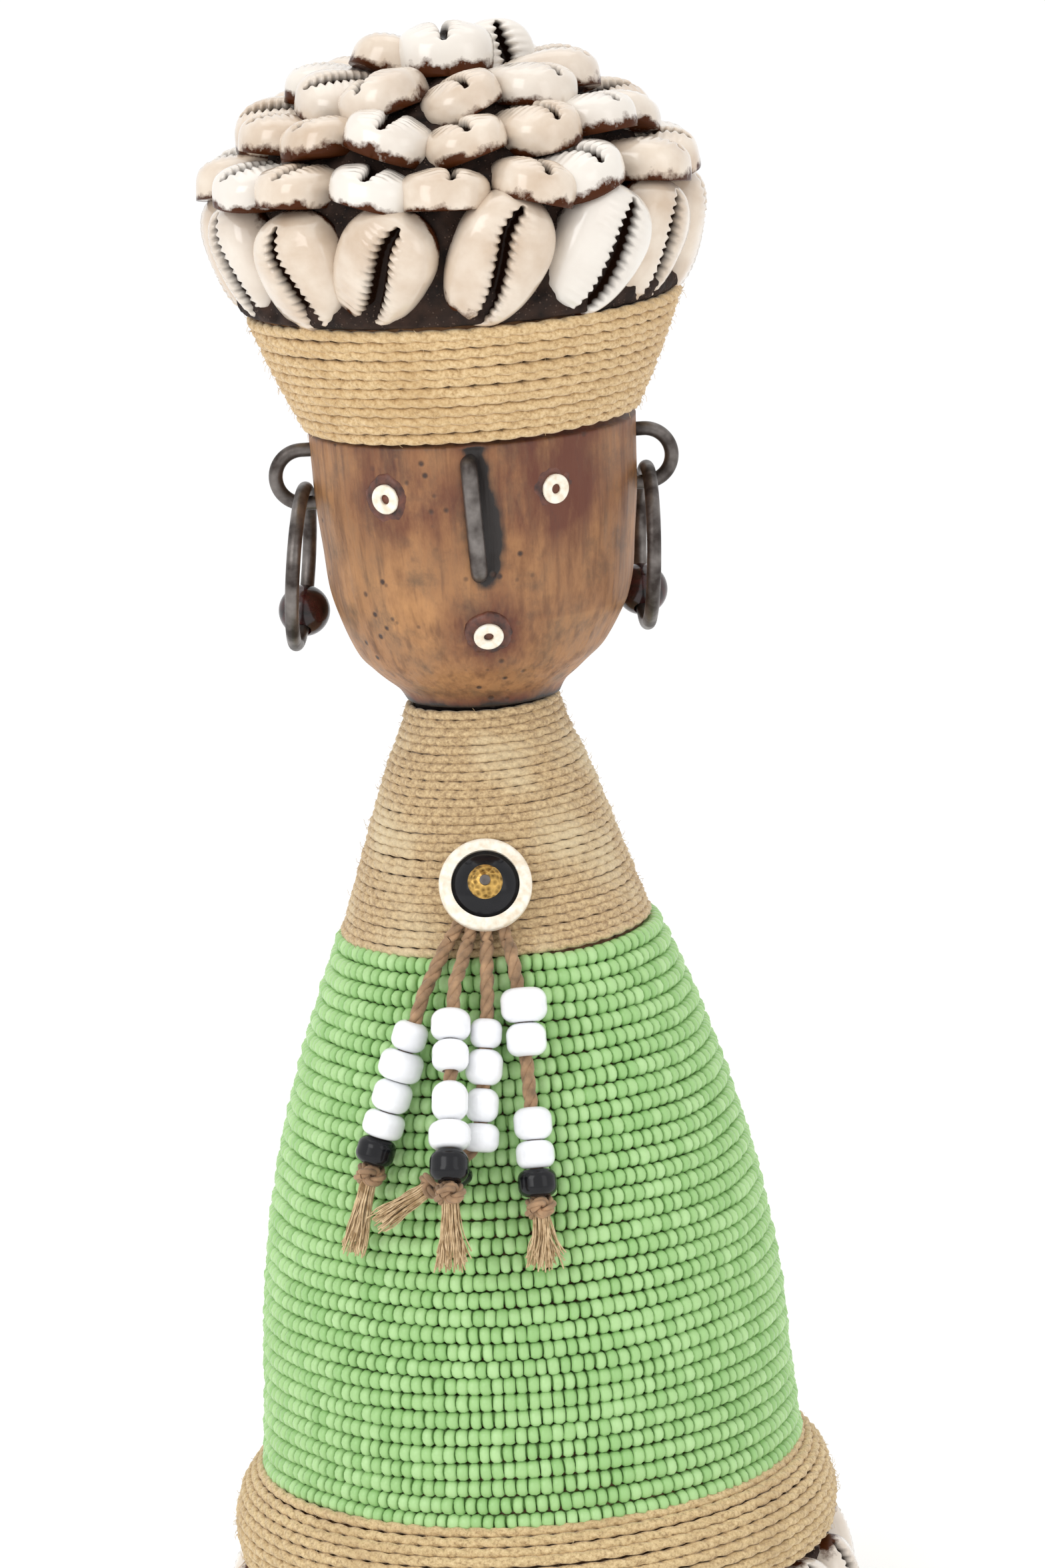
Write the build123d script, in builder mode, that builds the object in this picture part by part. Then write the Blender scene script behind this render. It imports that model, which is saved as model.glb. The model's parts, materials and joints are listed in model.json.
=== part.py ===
from build123d import *
import os
from math import cos, degrees, radians, sin, tan

# A carved fertility doll. A wooden figure stands on a flat base, +Z up, facing -Y, with the origin
# at the middle of its standing face. Everything else is wound, glued, driven or hung on it.
# All sizes are millimetres.

# ---------------------------------------------------------------- driving dimensions
glue_gap = 0.08  # room left under anything wound on the wood

base_radius = 48.5
hem_bottom = 20.8
hem_top = 37.5
bodice_top = 137.3
neck_top = 178.2
head_top = 226.6
hat_brim = 248.8

hat_twine = 2.15
chest_twine_size = 1.56
hem_twine_size = 1.85
bead_size = 3.0
bead_rows = 33

rim_shells = 14
tier_two_shells = 17
tier_three_shells = 14
tier_four_shells = 10
hem_shells = 20

eye_azimuth = 31.5
eye_height = 218.0
mouth_azimuth = 3.6
mouth_height = 193.2

ear_height = 219.0
ear_loop_radius = 4.75
ear_wire = 2.5
ring_radius = 13.75
ring_bead_size = 9.2

button_size = 16.3
cord_size = 2.6
bead_play = 0.09
lead_in = 3.3  # straight cord above the first bead of a strand

os.makedirs("parts", exist_ok=True)


def write(piece, name):
    """Label one finished piece and write it to its own file."""
    piece.part.label = name
    export_step(piece.part, f"parts/{name}.step")


# ---------------------------------------------------------------- carved core
# The figure is one piece of wood: a spreading skirt, a narrow neck, a bowl-shaped head and a
# flaring hat with a plug on top that the shells' mastic grips.
hem_line = ThreePointArc((51.3, hem_bottom), (52.4, 28.0), (47.0, hem_top))
bodice_line = Spline(
    (46.3, hem_top), (44.9, 52.0), (43.7, 70.0), (40.1, 92.0), (33.8, 115.0), (25.4, bodice_top)
)
chest_line = Spline(
    (25.4, bodice_top), (22.2, 148.4), (19.4, 157.0), (16.3, 165.6), (12.9, 174.2), (12.1, neck_top)
)
head_line = Spline(
    (13.6, neck_top + 0.4), (17.4, 182.6), (21.7, 187.2), (25.4, 197.5), (27.3, 211.0), (27.9, head_top)
)
hat_line = Line((26.7, head_top + 0.4), (36.2, hat_brim))
plug_radius = 30.0
plug_top = 264.0


def head_plane(azimuth, height, radius, fall):
    """A plane on the head's skin, facing out. Azimuth 0 is the front; fall tips it downwards."""
    out = Vector(sin(radians(azimuth)), -cos(radians(azimuth)), 0)
    across = Vector(cos(radians(azimuth)), sin(radians(azimuth)), 0)
    normal = out * cos(radians(fall)) - Vector(0, 0, sin(radians(fall)))
    return Plane(origin=out * radius + Vector(0, 0, height), x_dir=across, z_dir=normal)


bed_radius = 4.3
bed_depth = 2.6
face_spots = {
    "eye_left": head_plane(-eye_azimuth, eye_height, 27.6, 3),
    "eye_right": head_plane(eye_azimuth, eye_height, 27.6, 3),
    "mouth": head_plane(mouth_azimuth, mouth_height, 24.3, 26),
}

with BuildPart() as carved_core:
    with BuildSketch(Plane.XZ):
        with BuildLine():
            Polyline((0, 0), (base_radius - 1, 0), (base_radius, 1), (base_radius, hem_bottom))
            Line((base_radius, hem_bottom), hem_line @ 0)
            add(hem_line)
            Line(hem_line @ 1, bodice_line @ 0)
            add(bodice_line)
            add(chest_line)
            Line(chest_line @ 1, head_line @ 0)
            add(head_line)
            Line(head_line @ 1, hat_line @ 0)
            add(hat_line)
            Polyline(
                hat_line @ 1, (plug_radius, hat_brim + 2), (plug_radius, plug_top), (0, plug_top)
            )
            Line((0, plug_top), (0, 0))
        make_face()
    revolve(axis=Axis.Z)
    for spot in face_spots.values():
        with BuildSketch(spot):
            Circle(bed_radius + 0.05)
        extrude(amount=-bed_depth - 0.05, mode=Mode.SUBTRACT)
        with BuildSketch(spot):
            Circle(bed_radius + 0.05)
        extrude(amount=2, mode=Mode.SUBTRACT)
write(carved_core, "carved_core")


# ---------------------------------------------------------------- twine wound on the wood
def wrap(line, twine, first=0.0, last=1.0):
    """Twine wound side by side up a line of the wood, as one ribbed sleeve."""
    length = line.length * (last - first)
    turns = max(2, round(length / (0.95 * twine)))
    with BuildPart() as sleeve:
        with BuildSketch(Plane.XZ):
            for turn in range(turns):
                along = first + (last - first) * (turn + 0.5) / turns
                out = (line % along).rotate(Axis.Z, -90)
                middle = line @ along + out * (twine / 2 + glue_gap)
                with Locations((middle.X, middle.Y)):
                    Circle(twine / 2)
        revolve(axis=Axis.Z)
    return sleeve


crown_twine = wrap(hat_line, hat_twine, first=0.055)
write(crown_twine, "crown_twine")
chest_twine = wrap(chest_line, chest_twine_size, first=0.03)
write(chest_twine, "chest_twine")
hem_twine = wrap(hem_line, hem_twine_size, last=0.93)
write(hem_twine, "hem_twine")


# ---------------------------------------------------------------- beaded bodice
# Strings of seed beads lie round the skirt, one closed ring to a row.
def bead_band(first_row, last_row):
    with BuildPart() as band:
        with BuildSketch(Plane.XZ):
            for row in range(first_row, last_row):
                along = 0.01 + 0.982 * (row + 0.5) / bead_rows
                out = (bodice_line % along).rotate(Axis.Z, -90)
                middle = bodice_line @ along + out * (bead_size / 2 + glue_gap)
                with Locations((middle.X, middle.Y)):
                    Circle(bead_size / 2)
        revolve(axis=Axis.Z)
    return band


row_thirds = [0, bead_rows // 3, 2 * bead_rows // 3, bead_rows]
for name, start, stop in zip(("lower", "middle", "upper"), row_thirds, row_thirds[1:]):
    write(bead_band(start, stop), f"bodice_beads_{name}")


# ---------------------------------------------------------------- cowrie shells
def cowrie(length, width, thickness):
    """A shell lying along +X, wide end first, slit side up, its humped back sawn off flat."""
    wide_end = 0.42 * length
    with BuildPart() as shell:
        with BuildSketch(Plane.XY):
            with BuildLine():
                EllipticalCenterArc((0, 0), wide_end, width / 2, start_angle=0, arc_size=90)
                EllipticalCenterArc((0, 0), length - wide_end, width / 2, start_angle=90, arc_size=90)
                Line((wide_end - length, 0), (wide_end, 0))
            make_face()
        revolve(axis=Axis.X)
        split(bisect_by=Plane.XY.offset(width / 2 - thickness), keep=Keep.TOP)
    return shell.part


def standing(shell, lean, wide_end_up=True):
    """Turn a shell upright with its slit outwards; lean tips its wide end out, in degrees."""
    up = 1 if wide_end_up else -1
    axis = (sin(radians(lean)), 0, up * cos(radians(lean)))
    face = (cos(radians(lean)), 0, -up * sin(radians(lean)))
    return Plane(origin=(0, 0, 0), x_dir=axis, z_dir=face) * shell


def shell_ring(shell, radius, height, count, start_angle=0.0):
    """The same shell set round the doll."""
    with BuildPart() as ring:
        with Locations((0, 0, height)):
            with PolarLocations(radius, count, start_angle=start_angle):
                add(shell)
    return ring


rim_shell = standing(cowrie(20.5, 15.0, 8.6), lean=15)
tier_two_shell = cowrie(19.5, 12.1, 7.0)
tier_three_shell = cowrie(19.5, 11.4, 7.0)
tier_four_shell = cowrie(18.0, 10.2, 6.4)
top_shell = standing(cowrie(18.5, 12.0, 5.4), lean=4)
crown_rings = {
    "rim": shell_ring(rim_shell, 35.8, 261.6, rim_shells, 21.8),
    "tier_two": shell_ring(tier_two_shell, 35.6, 271.2, tier_two_shells, -91.5),
    "tier_three": shell_ring(tier_three_shell, 28.3, 278.6, tier_three_shells, -84.7),
    "tier_four": shell_ring(tier_four_shell, 19.6, 285.8, tier_four_shells, -82),
    "top": shell_ring(top_shell, 0.9, 289.6, 2, -80),
}
for name, shell_group in crown_rings.items():
    write(shell_group, f"crown_shells_{name}")

hem_shell = standing(cowrie(19.4, 15.2, 8.8), lean=4, wide_end_up=False)
hem_shell_ring = shell_ring(hem_shell, 50.6, 9.3, hem_shells, 9)
write(hem_shell_ring, "hem_shells")

# ---------------------------------------------------------------- mastic
# Dark resin mixed with grit beds every shell in its own hollow. The crown's cap of it covers
# the plug of wood.
with BuildPart() as crown_mastic:
    with BuildSketch(Plane.XZ):
        with BuildLine():
            Polyline(
                (plug_radius + 0.1, hat_brim + 2.4), (36.6, hat_brim + 0.6), (36.2, 262), (34.5, 268)
            )
            Spline((34.5, 268), (28.0, 275.5), (19.0, 282.5), (9.0, 286.5), (0, 287.5))
            Polyline(
                (0, 287.5), (0, plug_top + 0.1), (plug_radius + 0.1, plug_top + 0.1),
                (plug_radius + 0.1, hat_brim + 2.4),
            )
        make_face()
    revolve(axis=Axis.Z)
    for shell_group in crown_rings.values():
        add(shell_group.part, mode=Mode.SUBTRACT)
write(crown_mastic, "crown_mastic")

with BuildPart() as hem_mastic:
    with BuildSketch(Plane.XZ):
        with BuildLine():
            inner = base_radius + 0.1
            Polyline(
                (inner, 2.0), (inner, hem_bottom - 0.3), (inner + 3.4, hem_bottom - 0.3),
                (inner + 4.2, 11.0), (inner + 2.6, 2.0), (inner, 2.0),
            )
        make_face()
    revolve(axis=Axis.Z)
    add(hem_shell_ring.part, mode=Mode.SUBTRACT)
write(hem_mastic, "hem_mastic")

# ---------------------------------------------------------------- face
# Each eye and the mouth is a bone bead set in a plug of mastic, which also fills its hole.
face_bead_radius = 2.6
face_hole_radius = 0.85
for name, spot in face_spots.items():
    with BuildPart() as bed:
        with BuildSketch(spot):
            Circle(bed_radius)
        extrude(amount=0.3)
        with BuildSketch(spot):
            Circle(bed_radius)
        extrude(amount=-bed_depth)
        with BuildSketch(spot.offset(0.3)):
            Circle(face_bead_radius + 0.05)
            Circle(face_hole_radius - 0.05, mode=Mode.SUBTRACT)
        extrude(amount=-1.35, mode=Mode.SUBTRACT)
        with BuildSketch(spot.offset(0.3)):
            Circle(face_hole_radius - 0.05)
        extrude(amount=0.35)
    write(bed, f"{name}_mastic")

    with BuildPart() as bone_bead:
        with BuildSketch(spot.offset(-1.0)):
            Circle(face_bead_radius)
            Circle(face_hole_radius, mode=Mode.SUBTRACT)
        extrude(amount=2.0)
        fillet(bone_bead.faces().sort_by(Axis(spot.origin, spot.z_dir))[-1].edges(), 0.35)
    write(bone_bead, f"{name}_bead")

# The nose is a stout iron staple driven into the face.
nose_wire = 3.0
nose_top = Vector(0.0, -28.7, 224.2)
nose_foot = Vector(0.7, -27.0, 204.0)
leg = Vector(0, 10, 0)
with BuildPart() as nose_staple:
    with BuildLine() as nose_path:
        FilletPolyline(nose_top + leg, nose_top, nose_foot, nose_foot + leg, radius=2.2)
    with BuildSketch(Plane(origin=nose_path.line @ 0, z_dir=nose_path.line % 0)):
        Circle(nose_wire / 2)
    sweep()
write(nose_staple, "nose_staple")


# ---------------------------------------------------------------- ears and earrings
def ear_loop(side, middle_x):
    """A U-shaped iron staple driven into the side of the head, its bend left standing out."""
    with BuildPart() as loop:
        with BuildLine() as path:
            upper = Vector(middle_x, 0, ear_height + ear_loop_radius)
            lower = Vector(middle_x, 0, ear_height - ear_loop_radius)
            bend = Vector(middle_x + side * ear_loop_radius, 0, ear_height)
            inward = Vector(-side * 9.5, 0, 0)
            Line(upper + inward, upper)
            ThreePointArc(upper, bend, lower)
            Line(lower, lower + inward)
        with BuildSketch(Plane(origin=upper + inward, z_dir=(side, 0, 0))):
            Circle(ear_wire / 2)
        sweep()
    return loop


ring_drop = ring_radius - ear_wire - 0.1
bead_angle = 53.0
bead_reach = ring_radius - 0.45
bead_bore = 1.68
ring_gap = degrees(ring_bead_size * 0.30 / ring_radius)

earrings = {
    "left": (-1, -29.4, 7.0, -4.0),
    "right": (1, 30.9, 3.0, 4.0),
}
for name, (side, middle_x, tilt, turn) in earrings.items():
    write(ear_loop(side, middle_x), f"ear_loop_{name}")

    pivot = (middle_x, 0, ear_height - ear_loop_radius)
    hang = Location(pivot) * Rotation(-9, 0, 0) * Rotation(0, tilt, 0) * Rotation(0, 0, turn)
    # In the hanging frame the ring lies in the YZ plane, its middle straight below the pivot.
    hanging = Plane(hang)
    ring_middle = hanging.from_local_coords(Vector(0, 0, -ring_drop))
    ring_plane = Plane(origin=ring_middle, x_dir=hanging.y_dir, z_dir=hanging.x_dir)
    bead_middle = (bead_reach * sin(radians(bead_angle)), -bead_reach * cos(radians(bead_angle)))
    gap_at = bead_angle - 90

    with BuildPart() as ring:
        with BuildLine(ring_plane) as wire_path:
            CenterArc((0, 0), ring_radius, gap_at + ring_gap, 360 - 2 * ring_gap)
        with BuildSketch(Plane(origin=wire_path.line @ 0, z_dir=wire_path.line % 0)):
            Circle(ear_wire / 2)
        sweep()
    write(ring, f"earring_{name}_ring")

    bead_centre = ring_plane.from_local_coords(Vector(*bead_middle, 0))
    along = Vector(cos(radians(bead_angle)), sin(radians(bead_angle)), 0)
    bead_axis = ring_plane.from_local_coords(Vector(*bead_middle, 0) + along) - bead_centre
    with BuildPart(Plane(origin=bead_centre, z_dir=bead_axis)) as ring_bead:
        Sphere(ring_bead_size / 2)
        Cylinder(bead_bore, ring_bead_size, mode=Mode.SUBTRACT)
    write(ring_bead, f"earring_{name}_bead")
    print(name, "earring pivot", pivot, "bead centre", bead_centre, "bead axis", bead_axis)

# ---------------------------------------------------------------- button on the chest
# A bone ring, a black dome and a brass cap, all held by one iron pin driven into the wood.
button_normal_rise = 24.0
button_stand_off = 1.5
button_foot = Vector(-1.8, -23.95, 148.4)
button_normal = Vector(0, -cos(radians(button_normal_rise)), sin(radians(button_normal_rise)))
button_plane = Plane(
    origin=button_foot + button_normal * button_stand_off, x_dir=(1, 0, 0), z_dir=button_normal
)
pin_radius = 0.65
dome_radius = 5.95
cap_radius = 3.05

with BuildPart(button_plane) as button_ring:
    Cylinder(button_size / 2, 2.0, align=(Align.CENTER, Align.CENTER, Align.MIN))
    rim = button_ring.edges().filter_by(GeomType.CIRCLE).sort_by(Axis(button_plane.origin, button_normal))
    fillet(rim[-1], 0.8)
    with Locations((0, 0, 1.2)):
        Cylinder(dome_radius + 0.05, 1, align=(Align.CENTER, Align.CENTER, Align.MIN), mode=Mode.SUBTRACT)
    Cylinder(pin_radius + 0.1, 10, mode=Mode.SUBTRACT)
write(button_ring, "button_ring")


def lens(radius, height, bottom):
    """Half of a lens section, from the middle line out, as three corners and the bulge between."""
    ball = (radius**2 + height**2) / (2 * height)
    half_way = (radius / 2, bottom + (ball**2 - radius**2 / 4) ** 0.5 - (ball - height))
    return (radius, bottom), half_way, (0, bottom + height)


# The sections below are drawn beside the button's middle line, in a plane that holds it.
section_plane = Plane(origin=button_plane.origin, x_dir=(1, 0, 0), z_dir=button_plane.y_dir * -1)
middle_line = Axis(button_plane.origin, button_normal)
with BuildPart() as button_dome:
    with BuildSketch(section_plane):
        with BuildLine():
            edge, bulge, peak = lens(dome_radius, 3.0, 1.25)
            ThreePointArc(edge, bulge, peak)
            Polyline(peak, (0, 1.25), edge)
        make_face()
    revolve(axis=middle_line)
    with BuildSketch(button_plane):
        Circle(pin_radius + 0.1)
    extrude(amount=10, mode=Mode.SUBTRACT)
write(button_dome, "button_dome")

with BuildPart() as button_cap:
    with BuildSketch(section_plane):
        with BuildLine():
            edge, bulge, peak = lens(cap_radius, 1.5, 3.62)
            ThreePointArc(edge, bulge, peak)
            low_edge, low_bulge, low_peak = lens(cap_radius, 0.72, 3.62)
            Line(peak, low_peak)
            ThreePointArc(low_peak, low_bulge, low_edge)
        make_face()
    revolve(axis=middle_line)
    with BuildSketch(button_plane):
        Circle(pin_radius + 0.1)
    extrude(amount=10, mode=Mode.SUBTRACT)
write(button_cap, "button_cap")

with BuildPart() as button_pin:
    with BuildSketch(button_plane.offset(-14)):
        Circle(pin_radius)
    extrude(amount=14 + 5.15)
    with BuildSketch(button_plane.offset(5.15)):
        Circle(0.95)
    extrude(amount=0.55)
    fillet(button_pin.edges().filter_by(GeomType.CIRCLE).sort_by(middle_line)[-1], 0.25)
write(button_pin, "button_pin")


# ---------------------------------------------------------------- hanging strands
# Four waxed cords come out from under the button. Each carries glass beads above a knot, and its
# end is frayed. A route runs from the button's edge to the knot; the beads' stretch is straight.
def round_bead(diameter, length):
    """A squat glass bead on the Z axis, bored to run on the cord."""
    with BuildPart() as bead:
        Cylinder(diameter / 2, length)
        fillet(bead.edges().filter_by(GeomType.CIRCLE), 0.36 * length)
        Cylinder(cord_size / 2 + bead_play, length, mode=Mode.SUBTRACT)
    return bead.part


def thread(start, foot, beads, spacing=0.12):
    """Planes and sizes of beads threaded one after another down a straight run."""
    down = (foot - start).normalized()
    places = []
    reached = 0.0
    for diameter, length in beads:
        places.append((Plane(origin=start + down * (reached + length / 2), z_dir=down), diameter, length))
        reached += length + spacing
    return places, start + down * reached


def bead_group(places, name):
    with BuildPart() as group:
        for plane, diameter, length in places:
            with Locations(plane.location):
                add(round_bead(diameter, length))
    write(group, name)


def corner_radius(before, corner, after):
    turn = (corner - before).get_angle(after - corner)
    shorter = min((corner - before).length, (after - corner).length)
    return 0.45 * shorter / tan(radians(turn / 2))


def cord(route, name):
    radii = [corner_radius(*route[i - 1 : i + 2]) for i in range(1, len(route) - 1)]
    with BuildPart() as tube:
        with BuildLine() as path:
            FilletPolyline(*route, radius=radii)
        with BuildSketch(Plane(origin=path.line @ 0, z_dir=path.line % 0)):
            Circle(cord_size / 2)
        sweep()
    length = sum(edge.length for edge in path.edges())
    expected = length * cord_size**2 * 0.785398
    print(name, "length", round(length, 2), "radii", [round(r, 1) for r in radii])
    print(name, "volume over section times length", round(tube.part.volume / expected, 4))
    write(tube, name)


def tail(foot, end, knot, spread, name):
    """The knot below the last bead and the frayed end that fans out from it."""
    length = (end - foot).length
    down = Plane(origin=foot, z_dir=end - foot)
    side = Plane(origin=foot, x_dir=down.x_dir, z_dir=down.y_dir * -1)
    with BuildPart() as frayed:
        with BuildSketch(side):
            with BuildLine():
                Polyline(
                    (0, 0.05), (cord_size / 2, 0.05), (knot / 2, 1.1), (knot / 2, 2.2), (1.2, 3.4),
                    (spread / 2, length), (0, length), (0, 0.05),
                )
            make_face()
        revolve(axis=Axis(foot, end - foot))
    write(frayed, name)


def route_to(upper, first_bead, foot):
    """A route whose last run is straight from a little above the first bead to its foot."""
    down = (foot - first_bead).normalized()
    return upper + [first_bead - down * lead_in, foot]


# Strand one hangs furthest to the doll's right.
one_start = Vector(-15.7, -34.2, 127.6)
one_upper = [Vector(-8.8, -27.1, 140.0), Vector(-12.3, -30.8, 134.4)]
one = route_to(one_upper, one_start, Vector(-25.3, -38.2, 101.6))
places, below = thread(one_start, one[3], [(6.2, 5.2), (7.8, 5.3), (6.9, 5.5), (7.3, 4.6)])
bead_group(places, "strand_one_white_beads")
places, below = thread(below, one[3], [(6.8, 4.8)])
bead_group(places, "strand_one_black_bead")
cord(one[:3] + [below], "strand_one_cord")
tail(below, Vector(-28.9, -40.3, 88.5), 4.4, 4.2, "strand_one_tail")

# Strand two rides out over strand three. Its upper pair of beads can slip down a little way.
two_slip = 1.7
two_start = Vector(-9.1, -37.7, 130.2)
two_upper = [Vector(-5.6, -27.9, 139.6), Vector(-7.1, -32.1, 135.8)]
two = route_to(two_upper, two_start, Vector(-11.4, -54.9, 101.0))
two_down = (two[3] - two_start).normalized()
places, below = thread(two_start, two[3], [(6.9, 5.4), (6.4, 5.5)])
bead_group(places, "strand_two_sliding_pair")
places, below = thread(below + two_down * two_slip, two[3], [(6.3, 7.1), (7.3, 4.9)])
bead_group(places, "strand_two_white_beads")
places, below = thread(below, two[3], [(6.8, 5.8)])
bead_group(places, "strand_two_black_bead")
cord(two[:3] + [below], "strand_two_cord")
tail(below, Vector(-11.4, -57.3, 89.4), 4.8, 4.6, "strand_two_tail")

# Strand three passes behind strand two and kicks out sideways at its end.
three_start = Vector(-3.0, -36.6, 128.0)
three_bend = Vector(-4.4, -40.3, 116.6)
three_upper = [Vector(-2.2, -28.3, 139.5), Vector(-2.6, -32.4, 134.8)]
three = route_to(three_upper, three_start, three_bend)
three += [Vector(-5.7, -43.4, 106.2), Vector(-14.6, -44.7, 100.4)]
places, below = thread(three_start, three[3], [(5.6, 5.2), (6.5, 6.3)])
upper_places = places
places, below = thread(three[3], three[4], [(5.8, 6.0), (6.6, 5.0)])
bead_group(upper_places + places, "strand_three_white_beads")
three_kick = (three[5] - three[4]).normalized()
places, below = thread(three[4] + three_kick * 3.1, three[5], [(6.6, 5.0)])
bead_group(places, "strand_three_black_bead")
cord(three[:5] + [below], "strand_three_cord")
tail(below, Vector(-24.3, -43.2, 94.4), 4.4, 4.4, "strand_three_tail")

# Strand four has a bare stretch, so its upper pair of beads slides.
four_slip = 8.7
four_start = Vector(3.5, -35.5, 132.8)
four = route_to([Vector(1.4, -28.3, 139.5)], four_start, Vector(4.0, -47.1, 96.6))
four_down = (four[2] - four_start).normalized()
places, below = thread(four_start, four[2], [(8.1, 6.0), (7.0, 5.8)])
bead_group(places, "strand_four_sliding_pair")
places, below = thread(below + four_down * four_slip, four[2], [(6.7, 5.7), (6.7, 4.8)])
bead_group(places, "strand_four_white_beads")
places, below = thread(below, four[2], [(6.8, 4.8)])
bead_group(places, "strand_four_black_bead")
cord(four[:2] + [below], "strand_four_cord")
tail(below, Vector(4.7, -49.2, 86.4), 4.6, 4.8, "strand_four_tail")

# The cords' upper ends are trapped between the button and the twine.
with BuildPart() as trapped_ends:
    for route in (one, two, three, four):
        tucked = Vector(0.45 * route[0].X - 1.0, -26.5, 145.2)
        up = (tucked - route[0]).normalized()
        start = route[0] + up * (cord_size / 2 + 0.3)
        with BuildSketch(Plane(origin=start, z_dir=up)):
            Circle(cord_size / 2)
        extrude(amount=3.2)
write(trapped_ends, "trapped_cord_ends")
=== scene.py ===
import json
from math import cos, exp, pi, radians, sin, sqrt

import bmesh
import bpy
from mathutils import Matrix, Vector, noise

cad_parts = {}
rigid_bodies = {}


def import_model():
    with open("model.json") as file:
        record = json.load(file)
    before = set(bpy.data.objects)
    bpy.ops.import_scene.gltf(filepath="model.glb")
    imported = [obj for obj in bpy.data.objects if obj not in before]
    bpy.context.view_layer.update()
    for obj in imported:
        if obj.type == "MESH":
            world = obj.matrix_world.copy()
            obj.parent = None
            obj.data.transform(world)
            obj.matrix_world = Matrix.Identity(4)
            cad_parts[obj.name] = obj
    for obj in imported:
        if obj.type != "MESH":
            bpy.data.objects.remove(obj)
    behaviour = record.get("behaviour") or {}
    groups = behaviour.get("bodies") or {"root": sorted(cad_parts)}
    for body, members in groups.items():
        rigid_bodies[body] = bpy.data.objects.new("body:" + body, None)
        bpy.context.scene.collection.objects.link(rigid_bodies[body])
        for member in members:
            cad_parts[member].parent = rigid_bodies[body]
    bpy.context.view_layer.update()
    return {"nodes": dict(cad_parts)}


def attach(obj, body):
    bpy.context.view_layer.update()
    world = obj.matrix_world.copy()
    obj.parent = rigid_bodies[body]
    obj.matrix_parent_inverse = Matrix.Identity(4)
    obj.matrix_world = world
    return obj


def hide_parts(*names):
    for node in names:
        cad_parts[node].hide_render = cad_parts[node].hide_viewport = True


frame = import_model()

# A carved fertility doll with a crown of cowrie shells, wire earrings and a beaded skirt. It
# stands on its flat foot at the origin, +Z up, facing -Y. Lengths are metres; sizes in sections
# are written in millimetres and turned by mm.
mm = 0.001


# ---------------- camera, light and floor
# A long lens looks a little down on the doll, which leans slightly in the frame. A pale sweep of
# paper runs out under and behind it, and soft boxes light it evenly from the front and sides.
camera_data = bpy.data.cameras.new("camera")
camera_data.sensor_fit = "VERTICAL"
camera_data.sensor_height = 36
camera_data.lens = 146.6
camera_data.clip_end = 50
camera = bpy.data.objects.new("camera", camera_data)
look = Matrix.Rotation(radians(90 - 12.05), 4, "X") @ Matrix.Rotation(radians(-3.65), 4, "Z")
camera.matrix_world = Matrix.Translation((5.76 * mm, -1110.8 * mm, 398.4 * mm)) @ look
bpy.context.scene.collection.objects.link(camera)
bpy.context.scene.camera = camera


def colour(hex_code):
    """The linear colour of an sRGB hex value."""
    channels = [int(hex_code[i : i + 2], 16) / 255 for i in (0, 2, 4)]
    return [c / 12.92 if c <= 0.04045 else ((c + 0.055) / 1.055) ** 2.4 for c in channels] + [1.0]


def feed(tree, node, inputs):
    """Gives each named input a value, or a link where another node's output is given."""
    for key, value in inputs.items():
        if isinstance(value, bpy.types.NodeSocket):
            tree.links.new(value, node.inputs[key])
        else:
            node.inputs[key].default_value = value


def add_node(tree, kind, inputs=None, **settings):
    """Adds a node. An input takes a value, or the output of another node as a link."""
    made = tree.nodes.new(kind)
    for key, value in settings.items():
        setattr(made, key, value)
    feed(tree, made, inputs or {})
    return made


def result(tree, kind, inputs=None, **settings):
    """The first output of a new node."""
    return add_node(tree, kind, inputs, **settings).outputs[0]


def clouds(tree, place, scale, detail=2.0, roughness=0.5, distortion=0.0):
    """Soft noise from 0 to 1, scale times across a metre."""
    return result(tree, "ShaderNodeTexNoise", {
        "Vector": place, "Scale": scale, "Detail": detail, "Roughness": roughness, "Distortion": distortion,
    })


def bumps(tree, height, strength, distance):
    """The shading normal of a skin raised by height."""
    return result(tree, "ShaderNodeBump", {"Height": height, "Strength": strength, "Distance": distance})


def new_finish(name):
    """A material with its tree, its shader and the object's coordinates."""
    material = bpy.data.materials.new(name)
    material.use_nodes = True
    tree = material.node_tree
    place = add_node(tree, "ShaderNodeTexCoord").outputs["Object"]
    return material, tree, tree.nodes["Principled BSDF"], place


def soft_box(name, place, aim, size, power):
    """A lamp with a wide front, turned to its aim. Power is in watts."""
    lamp = bpy.data.lights.new(name, "AREA")
    lamp.shape = "RECTANGLE"
    lamp.size, lamp.size_y = size
    lamp.energy = power
    box = bpy.data.objects.new(name, lamp)
    box.location = place
    box.rotation_euler = (Vector(aim) - Vector(place)).to_track_quat("-Z", "Y").to_euler()
    bpy.context.scene.collection.objects.link(box)


soft_box("key_box", (-0.75, -0.95, 0.85), (0, 0, 0.18), (0.7, 0.9), 5.0)
soft_box("fill_box", (0.85, -0.85, 0.6), (0, 0, 0.18), (0.6, 0.8), 1.2)
soft_box("top_box", (0.0, 0.25, 1.1), (0, 0, 0.2), (0.9, 0.7), 1.5)

world = bpy.data.worlds.new("studio")
world.use_nodes = True
world.node_tree.nodes["Background"].inputs["Color"].default_value = colour("FFFFFF")
world.node_tree.nodes["Background"].inputs["Strength"].default_value = 1.05
bpy.context.scene.world = world
bpy.context.scene.view_settings.view_transform = "Standard"

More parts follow.
